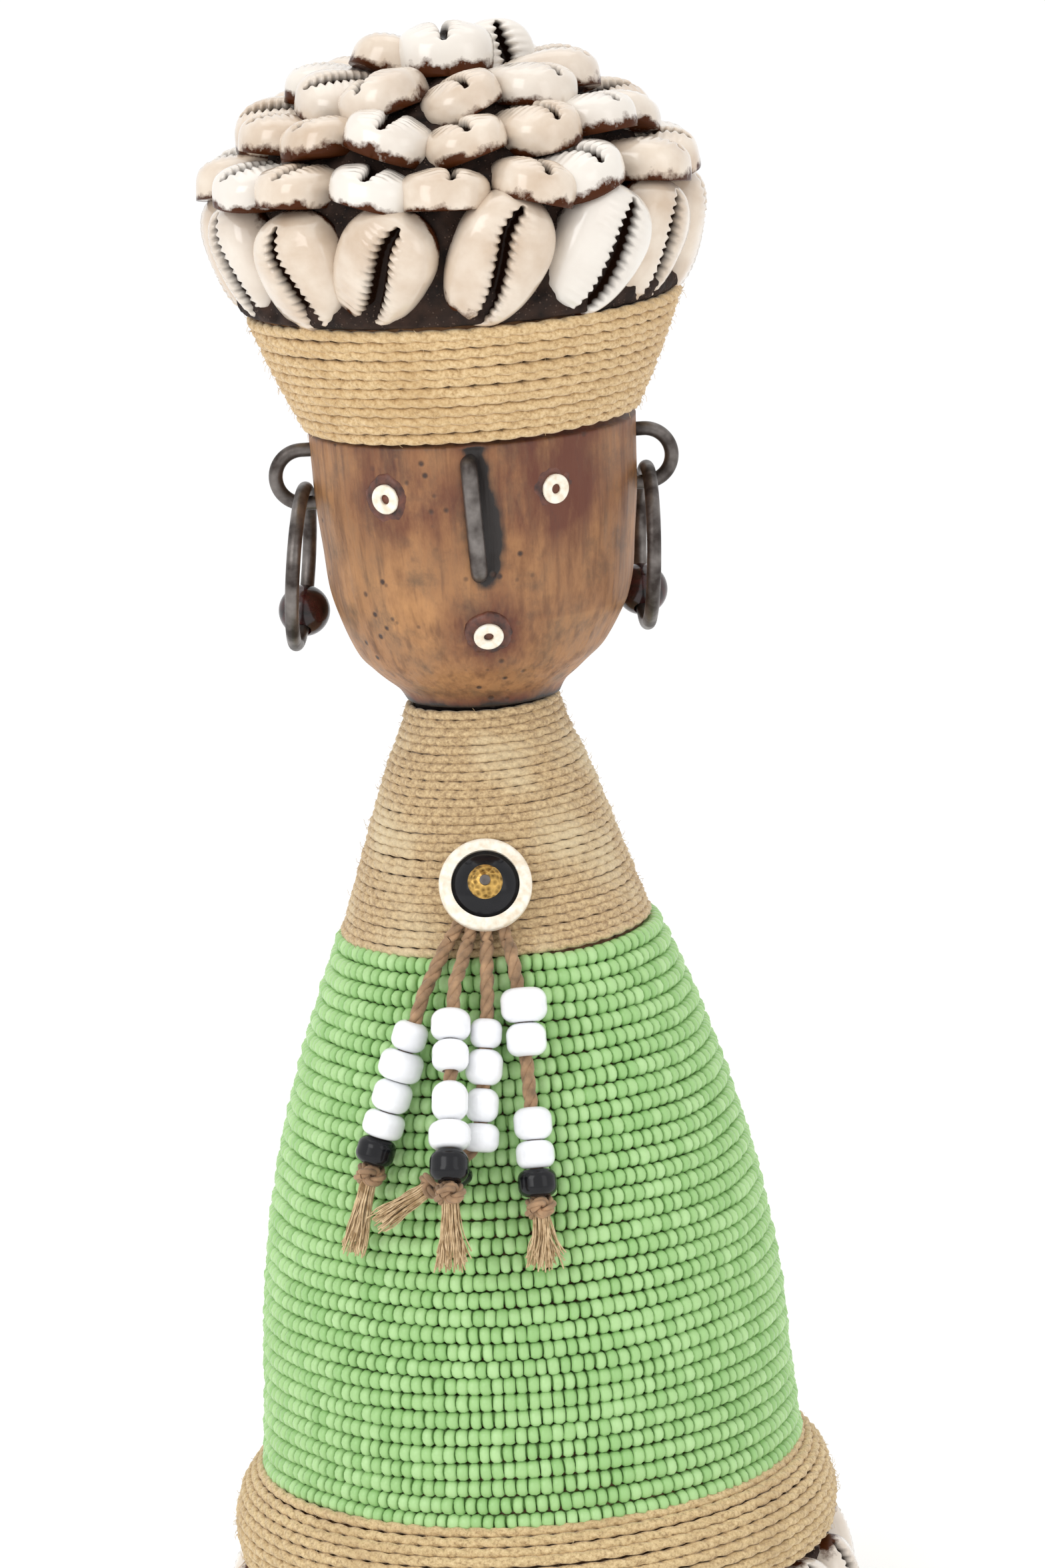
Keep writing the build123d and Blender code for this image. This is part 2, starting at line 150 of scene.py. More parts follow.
paper_mesh = bpy.data.meshes.new("paper_floor")
paper_mesh.from_pydata([(-9, -3, 0), (9, -3, 0), (9, 15, 0), (-9, 15, 0)], [], [(0, 1, 2, 3)])
paper_floor = bpy.data.objects.new("paper_floor", paper_mesh)
bpy.context.scene.collection.objects.link(paper_floor)
seamless_paper, tree, shader, place = new_finish("seamless_paper")
grain = clouds(tree, place, 900.0)
lift = bumps(tree, grain, 0.02, 0.1 * mm)
feed(tree, shader, {"Base Color": colour("FCFCFC"), "Roughness": 0.9, "Normal": lift})
paper_mesh.materials.append(seamless_paper)


# ---------------- hanging cords
# Four thin cords of waxed brown fibre come out from under the button. Each is three plies laid
# together; glass beads are threaded on it, and a knot holds them.
def new_piece(name, points, faces, edges=()):
    """A mesh object with its place in its mesh."""
    mesh = bpy.data.meshes.new(name)
    mesh.from_pydata(points, list(edges), faces)
    piece = bpy.data.objects.new(name, mesh)
    bpy.context.scene.collection.objects.link(piece)
    return piece


def plain_mesh(host, name):
    """The host with its modifiers worked out, as a new plain piece. The host goes."""
    depsgraph = bpy.context.evaluated_depsgraph_get()
    mesh = bpy.data.meshes.new_from_object(host.evaluated_get(depsgraph), depsgraph=depsgraph)
    piece = bpy.data.objects.new(name, mesh)
    bpy.context.scene.collection.objects.link(piece)
    bpy.data.objects.remove(host)
    return piece


def grow(host, tree, inputs, name):
    """Runs a geometry tree on the host and returns the result as a plain piece."""
    modifier = host.modifiers.new("grow", "NODES")
    modifier.node_group = tree
    for item in tree.interface.items_tree:
        if item.in_out == "INPUT" and item.name in inputs:
            modifier[item.identifier] = inputs[item.name]
    return plain_mesh(host, name)


def new_growth(name, inputs):
    """An empty geometry tree with named inputs, and its two end nodes."""
    tree = bpy.data.node_groups.new(name, "GeometryNodeTree")
    tree.interface.new_socket("Geometry", in_out="INPUT", socket_type="NodeSocketGeometry")
    for label, kind in inputs.items():
        tree.interface.new_socket(label, in_out="INPUT", socket_type="NodeSocket" + kind)
    tree.interface.new_socket("Geometry", in_out="OUTPUT", socket_type="NodeSocketGeometry")
    return tree, add_node(tree, "NodeGroupInput").outputs, add_node(tree, "NodeGroupOutput")


def end_growth(tree, output, geometry, material):
    """Realizes instances, smooths, sets the material and links the output."""
    real = result(tree, "GeometryNodeRealizeInstances", {0: geometry})
    smooth = result(tree, "GeometryNodeSetShadeSmooth", {"Geometry": real})
    dressed = result(tree, "GeometryNodeSetMaterial", {"Geometry": smooth, "Material": material})
    tree.links.new(dressed, output.inputs[0])


def maths(tree, operation, *numbers):
    """The result of an operation on one number or more."""
    return result(tree, "ShaderNodeMath", dict(enumerate(numbers)), operation=operation)


def vectors(tree, operation, one, two):
    """The result of an operation on a vector and a second vector, or a factor to scale it by."""
    second = "Scale" if operation == "SCALE" else 1
    return result(tree, "ShaderNodeVectorMath", {0: one, second: two}, operation=operation)


# Lays plies round the host's line: each ply winds about it once in every lay length.
lay_plies, given, output = new_growth("lay_plies", {
    "Plies": "Int", "Ply Radius": "Float", "Offset": "Float", "Lay": "Float", "Step": "Float",
    "Sides": "Int", "Wobble": "Float", "Material": "Material",
})
line = result(lay_plies, "GeometryNodeMeshToCurve", {"Mesh": given["Geometry"]})
steps = result(
    lay_plies, "GeometryNodeResampleCurve", {"Curve": line, "Length": given["Step"]}, mode="LENGTH"
)
plies = add_node(
    lay_plies, "GeometryNodeDuplicateElements", {"Geometry": steps, "Amount": given["Plies"]},
    domain="SPLINE",
)
reached = add_node(lay_plies, "GeometryNodeSplineParameter").outputs["Length"]
turned = maths(lay_plies, "DIVIDE", reached, given["Lay"])
share = maths(lay_plies, "DIVIDE", plies.outputs["Duplicate Index"], given["Plies"])
started = maths(lay_plies, "ADD", turned, share)
angle = maths(lay_plies, "MULTIPLY", started, 2 * pi)
normal = result(lay_plies, "GeometryNodeInputNormal")
tangent = result(lay_plies, "GeometryNodeInputTangent")
across = vectors(lay_plies, "CROSS_PRODUCT", tangent, normal)
swing = maths(lay_plies, "COSINE", angle)
sway = maths(lay_plies, "SINE", angle)
part_one = vectors(lay_plies, "SCALE", normal, swing)
part_two = vectors(lay_plies, "SCALE", across, sway)
aside = vectors(lay_plies, "ADD", part_one, part_two)
away = vectors(lay_plies, "SCALE", aside, given["Offset"])
loose = add_node(lay_plies, "ShaderNodeTexNoise", {"Scale": 900.0, "Detail": 1.0})
centred = vectors(lay_plies, "SUBTRACT", loose.outputs["Color"], (0.5, 0.5, 0.5))
wobble = vectors(lay_plies, "SCALE", centred, given["Wobble"])
moved = vectors(lay_plies, "ADD", away, wobble)
wound = result(lay_plies, "GeometryNodeSetPosition", {"Geometry": plies.outputs[0], "Offset": moved})
section = result(lay_plies, "GeometryNodeCurvePrimitiveCircle", {
    "Resolution": given["Sides"], "Radius": given["Ply Radius"],
})
solid = result(
    lay_plies, "GeometryNodeCurveToMesh",
    {"Curve": wound, "Profile Curve": section, "Fill Caps": True},
)
end_growth(lay_plies, output, solid, given["Material"])


def ramp(tree, factor, low, high, *between):
    """A run of colours over factor. Each stop is a position and a hex colour."""
    made = add_node(tree, "ShaderNodeValToRGB", {"Fac": factor})
    stops = made.color_ramp.elements
    for stop, (position, hex_code) in zip(stops, (low, high)):
        stop.position = position
        stop.color = colour(hex_code)
    for position, hex_code in between:
        stops.new(position).color = colour(hex_code)
    return made.outputs[0]


def lay_cord(line, plies, ply_radius, offset, lay, step, sides, wobble, material, name):
    """A cord on a line. Each ply lies offset from the middle; lengths are in millimetres."""
    return grow(line, lay_plies, {
        "Plies": plies, "Ply Radius": ply_radius * mm, "Offset": offset * mm, "Lay": lay * mm,
        "Step": step * mm, "Sides": sides, "Wobble": wobble * mm, "Material": material,
    }, name)


# Waxed fibre is brown and dull, darker where dirt sits between the plies, with fine hairs along it.
waxed_fibre, tree, shader, place = new_finish("waxed_fibre")
blotch = clouds(tree, place, 420.0, 4.0)
shades = ramp(tree, blotch, (0.3, "745B42"), (0.72, "B08C69"))
hairs = clouds(tree, place, 2600.0, 2.0)
lift = bumps(tree, hairs, 0.6, 0.15 * mm)
feed(tree, shader, {"Base Color": shades, "Normal": lift, "Roughness": 0.75, "Sheen Weight": 0.15})

cord_routes = {
    "one": [
        (-0.0088, -0.0271, 0.1400), (-0.0123, -0.0308, 0.1344), (-0.01457, -0.03373, 0.13066),
        (-0.02461, -0.03791, 0.10346),
    ],
    "two": [
        (-0.0056, -0.0279, 0.1396), (-0.0071, -0.0321, 0.1358), (-0.00888, -0.03603, 0.13304),
        (-0.0112, -0.0534, 0.10355),
    ],
    "three": [
        (-0.0022, -0.0283, 0.1395), (-0.0026, -0.0324, 0.1348), (-0.00262, -0.03559, 0.13112),
        (-0.0044, -0.0403, 0.1166), (-0.0057, -0.0434, 0.1062), (-0.01254, -0.0444, 0.10175),
    ],
    "four": [(0.0014, -0.0283, 0.1395), (0.00346, -0.03449, 0.13594), (0.00398, -0.04661, 0.09814)],
}


def smooth_route(points, name):
    """The points of a smooth spline that the route's points steer."""
    steered = bpy.data.curves.new(name, "CURVE")
    steered.dimensions = "3D"
    spline = steered.splines.new("NURBS")
    spline.points.add(len(points) - 1)
    for point, spot in zip(spline.points, points):
        point.co = (*spot, 1)
    spline.order_u = 3
    spline.use_endpoint_u = True
    spline.resolution_u = 16
    holder = bpy.data.objects.new(name, steered)
    bpy.context.scene.collection.objects.link(holder)
    return plain_mesh(holder, name + "_line")


strand_cords = {}
for name, route in cord_routes.items():
    guide = smooth_route(route, f"route_{name}")
    line_points = [vertex.co.copy() for vertex in guide.data.vertices]
    run = sum((b - a).length for a, b in zip(line_points, line_points[1:]))
    piece = lay_cord(guide, 3, 0.72, 0.56, 9, 0.45, 8, 0.25, waxed_fibre, f"waxed_cord_{name}")
    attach(piece, f"strand_{name}")
    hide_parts(f"strand_{name}_cord")
    strand_cords[name] = (piece, line_points, run)


# ---------------- knots and frayed ends
# Below the last bead each cord is tied in an overhand knot, and its end is left to fray into a
# brush of fibres.
fray, given, output = new_growth("fray", {
    "Thickness": "Float", "Material": "Material",
})
fibre_lines = result(fray, "GeometryNodeMeshToCurve", {"Mesh": given["Geometry"]})
fibre_section = result(
    fray, "GeometryNodeCurvePrimitiveCircle", {"Resolution": 4, "Radius": given["Thickness"]}
)
fibre_body = result(
    fray, "GeometryNodeCurveToMesh",
    {"Curve": fibre_lines, "Profile Curve": fibre_section, "Fill Caps": True},
)
end_growth(fray, output, fibre_body, given["Material"])


def chance(seed):
    """A repeatable number from 0 to 1."""
    return (sin(seed * 12.9898) * 43758.5453) % 1


def waver(x, y, z):
    """Smooth noise from -1 to 1 at a point."""
    return noise.noise(Vector((x, y, z)))


def sway_by(seed):
    """A repeatable number from -1 to 1."""
    return 2 * chance(seed) - 1


def brush_lines(foot, end, knot, spread, fibres, seed, forks=0.0):
    """Lines of loose fibres that leave the knot together and fan out towards the end."""
    down = (end - foot).normalized()
    side = down.orthogonal().normalized()
    front = down.cross(side)
    length = (end - foot).length
    bends = 7
    points, edges = [], []
    for fibre in range(fibres):
        turn = 2 * pi * chance(seed + fibre * 3.1)
        out = sqrt(chance(seed + fibre * 7.7))
        reach = length * (0.80 + 0.24 * chance(seed + fibre * 1.9))
        fork = forks * (1 if chance(seed + fibre * 5.3) > 0.45 else -1)
        lean = side * cos(turn) + front * sin(turn)
        first = len(points)
        for step in range(bends + 1):
            t = step / bends
            wide = out * (0.45 * knot * (1 - t) + 0.5 * spread * t**1.4)
            curl = Vector(noise.noise_vector(Vector((fibre * 0.9 + seed, t * 2.2, 0)))) * (1.1 * mm * t)
            along_brush = knot * 0.6 + (reach - knot * 0.6) * t
            points.append(foot + down * along_brush + lean * wide + side * fork * t * t + curl)
        edges += [(first + i, first + i + 1) for i in range(bends)]
    return points, edges


knot_steps = 48


def knot_line(foot, down, size):
    """A cord's own way through an overhand knot round its line."""
    side = down.orthogonal().normalized()
    front = down.cross(side)
    points = []
    for step in range(knot_steps + 1):
        t = 2 * pi * step / knot_steps
        ring = size * (0.42 + 0.16 * cos(3 * t))
        drop = size * (0.48 + 0.30 * sin(3 * t))
        points.append(foot + down * drop + side * ring * cos(2 * t) + front * ring * sin(2 * t))
    return points


tails = {
    "one": ((-0.02461, -0.03791, 0.10346), (-0.0289, -0.0403, 0.0885), 4.4, 90, 0.0),
    "two": ((-0.0112, -0.0534, 0.10355), (-0.0114, -0.0573, 0.0894), 5.2, 96, 0.6),
    "three": ((-0.01254, -0.0444, 0.10175), (-0.0243, -0.0432, 0.0944), 3.8, 90, 0.0),
    "four": ((0.00398, -0.04661, 0.09814), (0.0047, -0.0492, 0.0864), 4.8, 96, 1.6),
}
# The frayed fibres have lost their wax and dried to a pale tan.
loose_fibre, tree, shader, place = new_finish("loose_dry_fibre")
strawy = clouds(tree, place, 700.0, 3.0)
straws = ramp(tree, strawy, (0.3, "A08159"), (0.7, "E0C7A0"))
feed(tree, shader, {"Base Color": straws, "Roughness": 0.85})

# The fibres' curl is drawn from a fixed seed, so that every run gives the same ones.
noise.seed_set(7)
for number, (name, (foot, end, spread, fibres, forks)) in enumerate(tails.items()):
    foot, end = Vector(foot), Vector(end)
    down = (end - foot).normalized()
    points, edges = brush_lines(foot, end, 3.2 * mm, spread * mm, fibres, 40 * number + 3, forks * mm)
    brush = new_piece(f"fibres_{name}", points, [], edges)
    brush = grow(brush, fray, {"Thickness": 0.13 * mm, "Material": loose_fibre}, f"frayed_end_{name}")
    tied = knot_line(foot, down, 3.6 * mm)
    knot = new_piece(f"knot_line_{name}", tied, [], [(i, i + 1) for i in range(knot_steps)])
    knot = lay_cord(knot, 3, 0.5, 0.46, 6, 0.4, 7, 0.2, waxed_fibre, f"knot_{name}")
    for piece in (brush, knot):
        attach(piece, f"strand_{name}")
    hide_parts(f"strand_{name}_tail")
    cord, line_points, run = strand_cords[name]
    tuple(line_points[0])

# The cords' tops are pushed up under the button and lie flattened against the twine.
for name, route in cord_routes.items():
    top = Vector(route[0])
    hidden = Vector((0.45 * top.x - 1.0 * mm, -26.6 * mm, 145.4 * mm))
    start = top + (hidden - top).normalized() * 0.3 * mm
    stub = new_piece(f"stub_line_{name}", [start, hidden], [], [(0, 1)])
    stub = lay_cord(stub, 3, 0.62, 0.6, 7.5, 0.45, 8, 0.1, waxed_fibre, f"cord_under_button_{name}")
    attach(stub, "doll")
    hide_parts("trapped_cord_ends")


# ---------------- carved wooden core
# One block of pale brown hardwood, turned and shaved by hand: a bowl-shaped face under the hat
# band, a narrow neck, and a skirt that the beads and twine hide. Oil and handling have stained it.
def along(points, step):
    """Even steps down a smooth line through (radius, height) points."""
    fine = []
    padded_points = [points[0], *points, points[-1]]
    parts = 12
    for before, start, stop, after in zip(*(padded_points[skip:] for skip in range(4))):
        for part in range(parts):
            t = part / parts
            fine.append(Vector([
                0.5 * (
                    2 * b + (c - a) * t + (2 * a - 5 * b + 4 * c - d) * t**2
                    + (3 * b - a - 3 * c + d) * t**3
                )
                for a, b, c, d in zip(before, start, stop, after)
            ]))
    fine.append(Vector(points[-1]))
    total = sum((b - a).length for a, b in zip(fine, fine[1:]))
    count = max(2, round(total / step))
    even, reached, index = [], 0.0, 0
    for number in range(count + 1):
        wanted = total * number / count
        while index < len(fine) - 2 and reached + (fine[index + 1] - fine[index]).length < wanted:
            reached += (fine[index + 1] - fine[index]).length
            index += 1
        piece_length = (fine[index + 1] - fine[index]).length
        even.append(fine[index].lerp(fine[index + 1], min(1, (wanted - reached) / piece_length)))
    return even


def round_doll(turn, radius, height):
    """The point at an angle round the doll, measured from its front towards +X."""
    return Vector((radius * sin(turn), -radius * cos(turn), height))


def ring_faces(rings, sides):
    """The four-sided faces between rings of points that follow one another."""
    corners = [
        (ring * sides + side, ring * sides + (side + 1) % sides)
        for ring in range(rings - 1) for side in range(sides)
    ]
    return [(one, two, two + sides, one + sides) for one, two in corners]


def turned_piece(name, rows, sides, shape):
    """A closed body of revolution from (radius, height) rows in mm; shape moves each point."""
    turns = [2 * pi * side / sides for side in range(sides)]
    points = [shape(turn, radius, height) for radius, height in rows for turn in turns]
    faces = ring_faces(len(rows), sides)
    faces.append(tuple(range(sides))[::-1])
    faces.append(tuple(range(len(points) - sides, len(points))))
    return new_piece(name, points, faces)


# (height, x) down the middle of the groove, in mm.
groove_line = [(226.5, 1.0), (220.0, 1.4), (213.0, 2.0), (206.0, 2.3), (201.5, 1.6)]


def bell(value, middle, width):
    """1 at the middle, falling away smoothly over the width on both sides."""
    return exp(-(((value - middle) / width) ** 2))


def groove(x, height):
    """How far a point lies in the burnt groove beside the nose, from 0 to 1."""
    if not 199 < height < 229:
        return 0.0
    for (high, high_x), (low, low_x) in zip(groove_line, groove_line[1:]):
        if low <= height <= high:
            middle = low_x + (high_x - low_x) * (height - low) / (high - low)
            wide = 1.5 + 1.0 * bell(height, 212, 7) + 0.5 * waver(0, 0, height * 0.5)
            depth = max(0.0, min(1.0, (height - 201) / 4))
            return depth * bell(x, middle, wide)
    return 0.0


def carve(turn, radius, height):
    """The skin of the wood: slight flats left by the knife, and the groove beside the nose."""
    x, y = radius * sin(turn), -radius * cos(turn)
    flats = 0.28 * waver(x * 0.055, y * 0.055, height * 0.03)
    flats += 0.10 * waver(x * 0.35, y * 0.35, height * 0.05 + 7)
    if height < 60 or height > 228 or radius < 10:
        flats = 0.0
    if 184 < height < 228:
        # The block was shaved closer on the doll's right cheek than on its left.
        full = min(1.0, (height - 184) / 10)
        flats += 1.9 * full * max(0.0, sin(turn)) ** 2
    if y < 0:
        flats -= 0.9 * groove(x, height)
    return ((x * (1 + flats / max(radius, 1))) * mm, (y * (1 + flats / max(radius, 1))) * mm, height * mm)


head_rows = along([
    (13.6, 178.4), (14.9, 180.5), (17.4, 182.6), (19.6, 184.7), (21.6, 187.0), (24.0, 192.3), (25.8, 198.5),
    (26.6, 206.0), (27.45, 214.0), (27.7, 221.0), (27.9, 226.9),
], 0.55)
skirt_rows = [
    (0.5, 0.0), (47.0, 0.0), (48.2, 0.4), (48.5, 1.2), (48.5, 20.8), (51.2, 21.0), (52.2, 28.0), (47.0, 37.4),
    (44.8, 52.0), (43.5, 70.0), (40.0, 92.0), (33.7, 115.0), (25.3, 137.3), (22.0, 148.4), (19.2, 157.0),
    (16.1, 165.6), (12.8, 174.2), (12.0, 178.2),
]
hat_rows = [(26.7, 227.2), (36.1, 248.8), (30.0, 250.8), (30.0, 264.0), (0.5, 264.0)]
wood = turned_piece("carved_wood", skirt_rows + [tuple(row) for row in head_rows] + hat_rows, 288, carve)


def mark(piece, label, values):
    """Stores a number for every point of the piece."""
    layer = piece.data.attributes.new(label, "FLOAT", "POINT")
    for mark_here, value in zip(layer.data, values):
        mark_here.value = value


def skin(piece, material):
    """Covers a smooth piece in a material."""
    piece.data.materials.append(material)
    for face in piece.data.polygons:
        face.use_smooth = True


# Eyes and mouth, each as azimuth, height, radius and how far it faces down.
face_spots = {
    "eye_left": (-31.5, 218.0, 27.6, 3),
    "eye_right": (31.5, 218.0, 27.6, 3),
    "mouth": (3.6, 193.2, 24.3, 26),
}
spot_middles = [
    round_doll(radians(azimuth), radius, height) for azimuth, height, radius, fall in face_spots.values()
]
burns_and_shade, stains_and_shade = [], []
for vertex in wood.data.vertices:
    spot = vertex.co / mm
    in_groove = groove(spot.x, spot.z) if spot.y < 0 else 0.0
    # The groove beside the nose is burnt; the thin bands at 229.2 mm and 177.8 mm are painted shade under the
    # hat band and where the neck meets the chest twine.
    burns_and_shade.append(in_groove + 0.75 * bell(spot.z, 229.2, 1.6) + 0.6 * bell(spot.z, 177.8, 1.3))
    red = sum(1.4 * bell((spot - middle).length, 0, 7.5) for middle in spot_middles)
    red += 0.7 * bell(spot.z, 228.5, 3) + 1.2 * bell(spot.z, 178.5, 2.2)
    if spot.y < 0:
        red += 0.6 * bell(spot.x, 0, 10) * bell(spot.z, 214, 10)
        red += 0.4 * bell(spot.z, 219, 8) * bell(spot.x, 4, 20)
        # Above the mouth the face darkens towards +X: painted shade on the side turned away from the key box.
        if spot.z > 195:
            red += 0.3 * min(1.0, max(0.0, spot.x / 18))
    stains_and_shade.append(min(1.0, red))
mark(wood, "burn_and_shade", burns_and_shade)
mark(wood, "stain_and_shade", stains_and_shade)


def remap(tree, value, from_low, from_high, to_low=0.0, to_high=1.0):
    """Stretches one range of values on to another and holds it there."""
    return result(tree, "ShaderNodeMapRange", {
        "Value": value, "From Min": from_low, "From Max": from_high, "To Min": to_low, "To Max": to_high,
    })


def blend(tree, share, under, hex_code):
    """Lays a share of a hex colour over the one under it."""
    inputs = {"Factor": share, 6: under, 7: colour(hex_code)}
    return add_node(tree, "ShaderNodeMix", inputs, data_type="RGBA").outputs[2]


# Oiled hardwood, shaved and rubbed: warm tan with long brown streaks, red-brown stain near the
# iron and mastic, a burnt groove beside the nose, dark pits and scratches, and a low polish on the
# high places. Painted shade darkens the face towards +X and lies in near-black bands under the hat
# band and at the top of the neck.
oiled_hardwood, tree, shader, place = new_finish("oiled_hardwood")
stretched = result(tree, "ShaderNodeMapping", {"Vector": place, "Scale": (1.0, 1.0, 0.3)})
streaks = clouds(tree, stretched, 190.0, 7.0, roughness=0.7)
grain_shades = ramp(tree, streaks, (0.28, "6E4829"), (0.75, "BC8A5C"), (0.5, "9F7147"))
scratch_stretch = result(tree, "ShaderNodeMapping", {"Vector": place, "Scale": (1.0, 1.0, 0.05)})
scratches = clouds(tree, scratch_stretch, 620.0, 4.0)
broad = clouds(tree, place, 48.0, 5.0, roughness=0.65)
broad_edge = remap(tree, broad, 0.48, 0.66, 0.0, 0.5)
glowing = blend(tree, broad_edge, grain_shades, "C9935C")
grime = clouds(tree, place, 120.0, 6.0, roughness=0.7)
grime_edge = remap(tree, grime, 0.5, 0.68, 0.0, 0.65)
grimy = blend(tree, grime_edge, glowing, "5E4A34")
fine_lines = remap(tree, scratches, 0.5, 0.68, 0.0, 0.5)
lined = blend(tree, fine_lines, grimy, "4A2C1A")
patches = clouds(tree, stretched, 120.0, 6.0, roughness=0.65)
patch_edge = remap(tree, patches, 0.28, 0.58)
# The stain mark is red-brown stain near the iron and mastic, with painted shade on the face's +X side.
red_amount = add_node(tree, "ShaderNodeAttribute", attribute_name="stain_and_shade")
red_patch = maths(tree, "MULTIPLY", red_amount.outputs["Fac"], patch_edge)
red_shade = maths(tree, "MULTIPLY", red_patch, 0.95)
reddened = blend(tree, red_shade, lined, "5A2813")
# Near-black over the burnt groove, and painted shade under the hat band and at the top of the neck.
burn_and_shade_amount = add_node(tree, "ShaderNodeAttribute", attribute_name="burn_and_shade")
burn_and_shade_ragged = maths(tree, "ADD", burn_and_shade_amount.outputs["Fac"], streaks)
burn_and_shade_edge = remap(tree, burn_and_shade_ragged, 0.5, 0.85)
burnt_and_shaded = blend(tree, burn_and_shade_edge, reddened, "1B1310")
pits = add_node(tree, "ShaderNodeTexVoronoi", {"Vector": place, "Scale": 330.0, "Randomness": 1.0})
pit_spots = remap(tree, pits.outputs["Distance"], 0.10, 0.22, 1.0, 0.0)
pit_places = clouds(tree, place, 70.0, 1.0)
pit_areas = remap(tree, pit_places, 0.50, 0.62)
pitting = maths(tree, "MULTIPLY", pit_spots, pit_areas)
pitted = blend(tree, pitting, burnt_and_shaded, "3A2418")
dents = maths(tree, "SUBTRACT", scratches, pitting)
lift = bumps(tree, dents, 0.55, 0.3 * mm)
dull = remap(tree, streaks, 0.3, 0.7, 0.62, 0.42)
feed(tree, shader, {"Base Color": pitted, "Roughness": dull, "Normal": lift})
skin(wood, oiled_hardwood)
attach(wood, "doll")
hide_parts("carved_core")


# ---------------- wound twine
# Two-ply sisal twine, wound turn against turn: thick and golden on the hat, thinner and greyed
# with glue on the chest, and a band of it on the hem. Each band is one twine in a spiral.
def winding(name, outline, turns, pitch_wave, seed):
    """A line that climbs an outline of (radius, height) points, in mm, once round for each turn."""
    rows = along(outline, 0.4)
    steps_round = 120
    count = steps_round * turns
    points = []
    for step in range(count + 1):
        t = step / count * (len(rows) - 1)
        low = min(int(t), len(rows) - 2)
        radius, height = rows[low].lerp(rows[low + 1], t - low)
        turn = 2 * pi * step / steps_round + seed
        drift = Vector((cos(turn) * 1.3, sin(turn) * 1.3, step / steps_round * 0.9 + seed))
        stray = pitch_wave * noise.noise(drift)
        radius += 0.4 * stray
        points.append(round_doll(turn, radius, height + stray) * mm)
    return new_piece(name, points, [], [(i, i + 1) for i in range(count)])


# Sisal is a hard, pale gold fibre: dull, streaky along each ply, with dust in the gaps. Glue
# darkens it in places and leaves paler skins in others.
def twine_finish(name, pale, middle, dark, glue, glue_share):
    """Sisal in three shades of straw, with a share of its skin under glue."""
    material, tree, shader, place = new_finish(name)
    flecks = clouds(tree, place, 1500.0, 3.0, roughness=0.7)
    shades = ramp(tree, flecks, (0.27, dark), (0.74, pale), (0.5, middle))
    smears = clouds(tree, place, 75.0, 4.0)
    smeared = remap(tree, smears, 0.48, 0.72, 0.0, glue_share)
    glued = blend(tree, smeared, shades, glue)
    fibres = clouds(tree, place, 3200.0, 2.0)
    lift = bumps(tree, fibres, 0.7, 0.12 * mm)
    feed(tree, shader, {"Base Color": glued, "Normal": lift, "Roughness": 0.8, "Sheen Weight": 0.2})
    return material


golden_sisal = twine_finish("golden_sisal", "E2C99F", "CDAF80", "A17F52", "B4915F", 0.5)
glued_sisal = twine_finish("glued_sisal", "D9C093", "BBA077", "85694A", "D8C9A6", 0.55)
hem_sisal = twine_finish("hem_sisal", "E0C89B", "C8AE80", "8F724D", "A98C62", 0.5)

hat_outline = [(28.5, 227.9), (30.9, 232.8), (34.1, 240.0), (37.5, 248.6)]
chest_outline = [
    (27.3, 136.6), (26.0, 139.6), (23.1, 148.4), (20.25, 157.0), (17.25, 165.6), (14.7, 171.5), (13.1, 176.4),
    (12.95, 177.7),
]
hem_outline = [(52.9, 22.2), (53.75, 26.48), (53.6, 30.08), (52.4, 33.91), (50.2, 37.29), (48.3, 39.2)]
# Each band: outline, turns, how far a turn strays, twine size, seed, finish, shift to the side and
# how far each ply's middle lies from the twine's, as a share of its size. Lengths are in mm.
bands = [
    ("crown_twine", hat_outline, 12, 0.45, 2.06, 3.0, golden_sisal, 0.8, 0.13),
    ("chest_twine", chest_outline, 28, 0.3, 1.74, 3.3, glued_sisal, -0.3, 0.11),
    ("hem_twine", hem_outline, 10, 0.4, 1.95, 2.9, hem_sisal, 0.0, 0.13),
]
for node, outline, turns, stray, size, seed, finish, shift, twist in bands:
    guide = winding(f"{node}_line", outline, turns, stray, seed)
    guide.data.transform(Matrix.Translation((shift * mm, 0, 0)))
    path_points = [vertex.co.copy() for vertex in guide.data.vertices]
    piece = lay_cord(
        guide, 2, (0.54 - twist) * size, twist * size, 4.0 * size, 0.36 * size, 7, 0.07 * size, finish,
        f"wound_{node}",
    )
    # Short stray fibres stand off the twine all over.
    points, edges = [], []
    for hair in range(900):
        root = path_points[int(chance(hair * 1.7 + seed) * (len(path_points) - 2))]
        out = Vector((root.x, root.y, 0)).normalized()
        lean = Vector((-out.y, out.x, 0)) * sway_by(hair * 2.9)
        lean += Vector((0, 0, sway_by(hair * 4.3)))
        reach = (0.5 + 1.3 * chance(hair * 6.1)) * mm
        start = root + out * (0.42 * size * mm)
        first = len(points)
        bend = start + out * reach * 0.35 + lean * reach * 0.4
        points += [start, bend, start + out * reach * 0.45 + lean * reach]
        edges += [(first, first + 1), (first + 1, first + 2)]
    fuzz = new_piece(f"{node}_hair_lines", points, [], edges)
    fuzz = grow(fuzz, fray, {"Thickness": 0.035 * mm, "Material": finish}, f"fuzz_on_{node}")
    for made in (piece, fuzz):
        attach(made, "doll")
    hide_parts(node)

# ---------------- beaded bodice
# About four thousand seed beads of opaque green glass, threaded and wound round the skirt in 33
# rows. No two are quite the same size, and the rows wander a little.
seed_size = 3.05
seed_rows = 33


